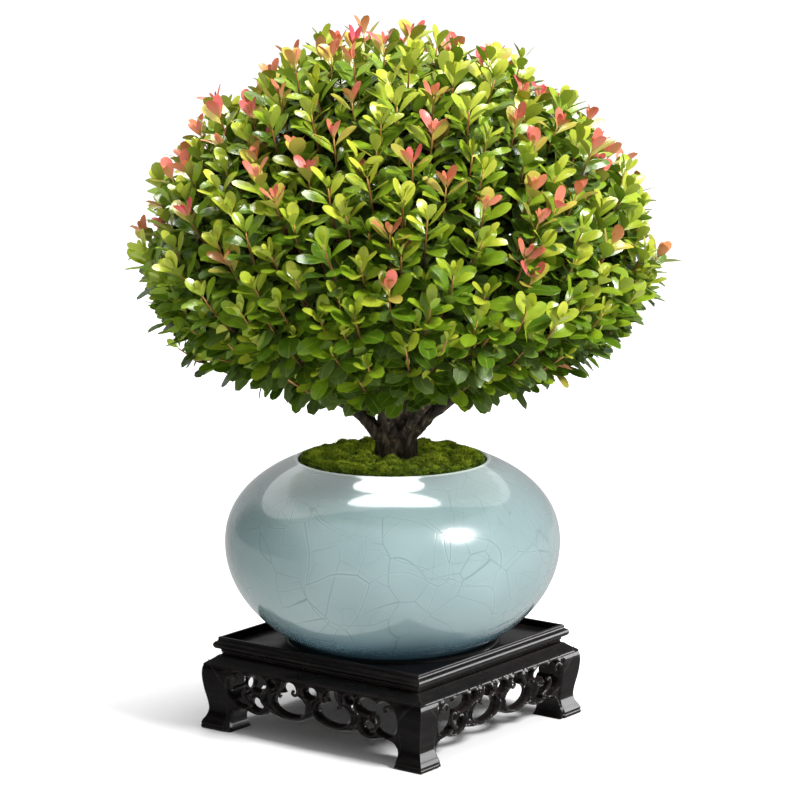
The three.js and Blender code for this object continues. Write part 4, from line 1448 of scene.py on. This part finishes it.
# %% The twig material
twig, tree, shader = new_material("young_twig")
rind = use_group(tree, clouds, Scale=400.0, Low=-0.1, High=0.1).outputs["Value"]
old_to_young = combined(tree, "ADD", carried(tree, "growth")["X"], rind)
rind_colour = colour_ramp(tree, old_to_young, [
    (0.0, (0.030, 0.018, 0.010)), (0.3, (0.10, 0.043, 0.018)), (0.7, (0.32, 0.13, 0.035)),
    (1.0, (0.55, 0.32, 0.07)),
])
fill_sockets(tree, shader, {"Base Color": rind_colour, "Roughness": 0.55})
print("finish:", twig.name)

# %% [markdown]
# ## A blade
# A leaf of this species is obovate: narrow at the foot, widest past the middle, blunt at the tip. A
# flat card with a cut-out picture would be lighter, but its edge would look thin as paper. So a blade
# is a template of points that is laid out on each leaf's own axes, thousands at a time. The upper
# sheet is folded a little along the midrib and curved back towards the tip. The lower sheet shares
# its edge and is a bit coarser, so that each leaf is a thin closed body. Deep inside the crown a
# plainer one will do.

# %% Two leaf templates
def blade_template(stations, columns_above, columns_below):
    """Points as (across, along, width share, side) and faces of one leaf."""
    points, triangles, quads = [], [], []
    for columns, sign in ((columns_above, 1), (columns_below, -1)):
        first = len(points)
        points.append((0, 0, 0, sign))
        points += [(u, v, w, sign) for v, w in stations for u in columns]
        points.append((0, 1, 0, sign))
        count, rows = len(columns), len(stations)
        for c in range(count - 1):
            low, high = first + 1 + c, first + 2 + c
            triangles.append((first, high, low)[::sign])
            top = (rows - 1) * count
            triangles.append((low + top, high + top, len(points) - 1)[::sign])
            for r in range(rows - 1):
                a, b = low + r * count, high + r * count
                quads.append((a, b, b + count, a + count)[::sign])
    return np.array(points, float), np.array(triangles), np.array(quads)


fine_leaf = blade_template(
    [(0.09, 0.17), (0.30, 0.62), (0.54, 0.98), (0.76, 0.96), (0.93, 0.62)],
    (-1, -0.5, 0, 0.5, 1), (-1, 0, 1),
)
plain_leaf = blade_template([(0.2, 0.38), (0.55, 1.0), (0.86, 0.74)], (-1, 0, 1), (-1, 1))
print("triangles per leaf:", [len(t) + 2 * len(q) for _, t, q in (fine_leaf, plain_leaf)])

# %% Laying the leaves out
BLADE_THICKNESS = 0.4


def lay_leaves(shells, values, template, leaves, kind):
    """Adds one closed blade for each row of leaves, a dictionary of arrays."""
    form, triangles, quads = template
    u, v, share, sign = form.T
    count, size = len(leaves["root"]), len(form)
    across = np.cross(leaves["along"], leaves["up"])
    length, width, fold = (leaves[key][:, None] for key in ("length", "width", "fold"))
    half = share * u * width / 2
    wave = leaves["wave"][:, None] * np.sin(7 * v + leaves["seed"][:, None] * 40) * np.abs(u) * share
    lift = (
        fold * np.abs(half) * (1 - 0.25 * np.abs(u)) + leaves["curl"][:, None] * length * (v - v * v * 1.6)
        + wave + sign * BLADE_THICKNESS / 2 * share * (1 - u * u)
    )
    points = (
        leaves["root"][:, None] + leaves["along"][:, None] * (v * length)[..., None]
        + across[:, None] * half[..., None] + leaves["up"][:, None] * lift[..., None]
    )
    offset = (np.arange(count) * size)[:, None, None]
    shells.add(points, ((offset + triangles).reshape(-1, 3), (offset + quads).reshape(-1, 4)), kind)

    def everywhere(*rows):
        return np.stack([np.broadcast_to(row, (count, size)) for row in rows], -1).reshape(-1, 3)

    values["blade"].append(everywhere(u, v, leaves["seed"][:, None]))
    values["growth"].append(everywhere(leaves["age"][:, None], leaves["pink"][:, None], (sign + 1) / 2))


print("a blade is", BLADE_THICKNESS, "mm thick")

# %% [markdown]
# ## Where the shoots stand
# The crown is clipped to a dome, and every shoot ends near its surface. Random places would leave
# clumps and holes, so golden-angle steps spread the shoots evenly over it, in two layers: long shoots
# that make the surface, and shorter ones behind them that close the gaps, whose leaves are painted
# darker as shade. A shoot starts along the line from the fork of the trunk and turns up towards the
# light, less so low down in the shade.
# The random numbers come from one seeded source, so every run grows the same tree.

# %% Shoots
OUTER, INNER = 470, 360
SHOOTS = OUTER + INNER
GOLDEN_TURN = math.pi * (3 - math.sqrt(5))
LOWEST = -0.90
UP = np.array([0.0, 0.0, 1.0])
FORK = np.array([TREE_X, TREE_Y, 200.0])
rng = np.random.default_rng(2611)

outer = np.arange(SHOOTS) < OUTER
index = np.concatenate([np.arange(OUTER), np.arange(INNER)])
height = 1 - (1 - LOWEST) * (index + 0.5) / np.where(outer, OUTER, INNER)
azimuth = GOLDEN_TURN * index + np.where(outer, 0, 1.1) + rng.normal(0, 0.04, SHOOTS)
direction = unit(azimuth, np.arcsin(height))
reach = np.where(outer, 0.945, 0.84) + rng.normal(0, 0.02, SHOOTS).clip(-0.04, 0.05)
reach += np.where(outer & (rng.uniform(0, 1, SHOOTS) < 0.13), 0.045, 0)
reach -= 0.035 * np.exp(-((height - 0.62) / 0.2) ** 2)
reach -= 0.035 * step(-height, 0.05, 0.4) + 0.105 * step(-height, 0.45, 0.85)
tips = crown_place(direction, reach)
setting_out = normalised(tips - FORK)
towards_light = 0.06 + 0.72 * step(height, -0.75, 0.15)
heading = normalised(setting_out + UP * towards_light[:, None] + rng.normal(0, 0.11, (SHOOTS, 3)))
length = np.where(outer, 47, 37) + rng.normal(0, 4, SHOOTS)
home = np.argmin(np.linalg.norm(tips[:, None] - heads[None], axis=2), axis=1)
flushing = (0.03 + 0.52 * step(height, -0.2, 0.6)) * np.where(outer, 1, 0.15)
pinkness = np.where(rng.uniform(0, 1, SHOOTS) < flushing, rng.uniform(0.7, 1, SHOOTS), 0)
# A shoot's own vigour, plus painted light and shade: shoots high in the crown are painted lighter, and the
# inner layer darker.
vigour_and_painted_shade = rng.normal(0, 0.07, SHOOTS) + 0.15 * height - np.where(outer, 0, 0.24)


def along_shoot(before_tip):
    """Places and directions on all shoots, some millimetres before their tips."""
    left = (before_tip / length)[:, None]
    bend = setting_out - heading
    place = tips - length[:, None] * (left * heading + left ** 2 / 2 * bend)
    return place, normalised(heading + left * bend)


print("shoots:", SHOOTS, "with pink tips:", int((pinkness > 0).sum()))

# %% [markdown]
# ## Leaves in crossed pairs
# Pairs of leaves stand crosswise along each shoot, close together at the tip, wider and flatter
# further down. A particle system could scatter them, but it knows nothing of pairs. So each row below
# places one pair on all shoots at once, and then the underside of the crown is clipped, so that trunk
# and limbs show.

# %% Pairs on every shoot
# One row for each pair: distance before the tip, lean from the shoot, leaf length, width share, age,
# share of pink
PAIRS = [
    (-0.5, 12, 8.0, 0.42, 1.0, 1.0), (1.0, 25, 13.5, 0.48, 0.93, 1.0), (5.5, 42, 16.0, 0.51, 0.80, 0.28),
    (11.0, 52, 18.0, 0.53, 0.66, 0.0), (17.0, 58, 19.0, 0.54, 0.52, 0.0),
    (23.0, 63, 19.0, 0.54, 0.40, 0.0), (29.5, 67, 18.5, 0.54, 0.30, 0.0),
    (36.0, 70, 18.0, 0.54, 0.20, 0.0), (42.5, 72, 17.0, 0.54, 0.12, 0.0),
]
FINE_PAIRS = np.where(outer, 6, 3)
start_turn = rng.uniform(0, 2 * np.pi, SHOOTS)
astray = 0.04 + 0.22 * step(-height, 0.05, 0.5)
rows = []
for number, (before, lean, size, slender, age, share) in enumerate(PAIRS):
    place, axis = along_shoot(before + rng.normal(0, 0.5, SHOOTS))
    level = normalised(np.cross(axis, setting_out + [0.013, 0.007, 0.02]))
    facing = np.cross(axis, level)
    turn = start_turn + number * np.pi / 2 + rng.normal(0, 0.18, SHOOTS)
    for half_turn in (0, np.pi):
        swing = (turn + half_turn)[:, None]
        side = normalised(np.cos(swing) * level + 0.62 * np.sin(swing) * facing)
        tilt = np.radians(lean + rng.normal(0, 8, SHOOTS))[:, None]
        along = np.cos(tilt) * axis + np.sin(tilt) * side
        along = normalised(along + astray[:, None] * rng.normal(0, 1, (SHOOTS, 3)))
        towards = (UP * 0.35 + setting_out * 0.2) * min(1, number / 3)
        up = axis + towards + rng.normal(0, 0.14, (SHOOTS, 3))
        up = normalised(up - along * (up * along).sum(1, keepdims=True))
        grown = size * rng.normal(1, 0.09, SHOOTS).clip(0.78, 1.18)
        rows.append({
            "root": place + side * 0.5, "along": along, "up": up, "length": grown,
            "width": grown * slender * rng.normal(1, 0.08, SHOOTS).clip(0.82, 1.22),
            "fold": rng.normal(0.21, 0.11, SHOOTS), "curl": rng.normal(0.10, 0.09, SHOOTS),
            "wave": rng.normal(0.0, 0.25, SHOOTS), "seed": rng.uniform(0, 1, SHOOTS),
            "age": (age + vigour_and_painted_shade + rng.normal(0, 0.07, SHOOTS)).clip(0.02, 1.0),
            "pink": (pinkness * share * rng.uniform(0.75, 1.0, SHOOTS)).clip(0, 1),
            "home": home, "fine": number < FINE_PAIRS, "shoot": np.arange(SHOOTS),
        })
leaves = {key: np.concatenate([row[key] for row in rows]) for key in rows[0]}
print("leaves before clipping:", len(leaves["root"]))

# %% Clip and thin the underside
ends = leaves["root"] + leaves["along"] * leaves["length"][:, None]
from_trunk = np.hypot(ends[:, 0] - TREE_X, ends[:, 1] - TREE_Y)
lowest_end = 206 + 46 * (np.maximum(from_trunk - 72, 0) / 82) ** 2
lowest_end += rng.normal(0, 5, SHOOTS)[leaves["shoot"]] + rng.normal(0, 2.5, len(ends))
kept = np.minimum(ends[:, 2], leaves["root"][:, 2]) > lowest_end
thinned = 0.32 * step(-height, 0.1, 0.5)[leaves["shoot"]]
kept &= rng.uniform(0, 1, len(ends)) > thinned
leaves = {key: values[kept] for key, values in leaves.items()}
print("leaves:", len(leaves["root"]))

# %% [markdown]
# ## Leafy heads
# Each head of the crown is one piece: its twigs and all the leaves on them. From the end of the limb,
# a few branchlets lead to groups of shoots, fork to each shoot and end in the shoot's own stem. Leaves
# could hang in the air unseen here, but the twigs show in the gaps and at the lower rim, and they
# carry every leaf.

# %% Grouping the shoots and drawing a twig
BRANCHLETS = 8


def grouped(points, groups):
    """A group number for each point: the nearest of a few points taken at even steps."""
    leaders = points[::max(1, len(points) // groups)]
    return np.argmin(np.linalg.norm(points[:, None] - leaders[None], axis=2), axis=1)


def add_twig(shells, values, path, thick, thin, sides, old, young):
    """A twig whose age runs from old at its start to young at its end."""
    points, faces = tube(path, np.linspace(thick, thin, len(path)), sides)
    shells.add(points, faces, 1)
    ages = np.repeat(old + (young - old) * np.linspace(0, 1, len(path)) ** 2, sides)
    ages = np.concatenate([ages, [old, young]])
    values["growth"].append(np.stack([ages, 0 * ages, 0 * ages], 1))
    values["blade"].append(np.zeros((len(points), 3)))


stem_stops = [np.broadcast_to(d, SHOOTS) for d in (0.0, 7.0, 16.0, 27.0, 40.0)]
stem_places = np.stack([along_shoot(stop)[0] for stop in stem_stops], 1)
print("stems:", stem_places.shape[0], "with", stem_places.shape[1], "places each")

# %% Twigs and leaves of every head
for i, limb in enumerate(limb_lines):
    shells, values = Shells(), {"blade": [], "growth": []}
    stems = stem_places[home == i]
    feet = stems[:, -1]
    start = limb[-1]
    group = grouped(feet, BRANCHLETS)
    for g in np.unique(group):
        members = np.flatnonzero(group == g)
        fork = start + 0.5 * (feet[members].mean(0) - start)
        bow = 0.5 * (start + fork) + UP * 3
        add_twig(shells, values, smooth_line([start, bow, fork], 4), 2.0, 1.3, 7, 0.05, 0.12)
        for m in members:
            inward = normalised(feet[m] - stems[m, -2])
            path = np.array([fork, 0.5 * (fork + feet[m]) + inward * 2, feet[m], *stems[m, -2::-1]])
            add_twig(shells, values, path, 1.0, 0.45, 5, 0.12, 0.95)
    for template, fine in ((fine_leaf, True), (plain_leaf, False)):
        chosen = (leaves["home"] == i) & (leaves["fine"] == fine)
        lay_leaves(shells, values, template, {key: rows[chosen] for key, rows in leaves.items()}, 0)
    name = f"leafy_branch_{i + 1:02d}"
    make_piece(name, shells, [leaf, twig], "foliage",
               values={key: np.concatenate(rows) for key, rows in values.items()})
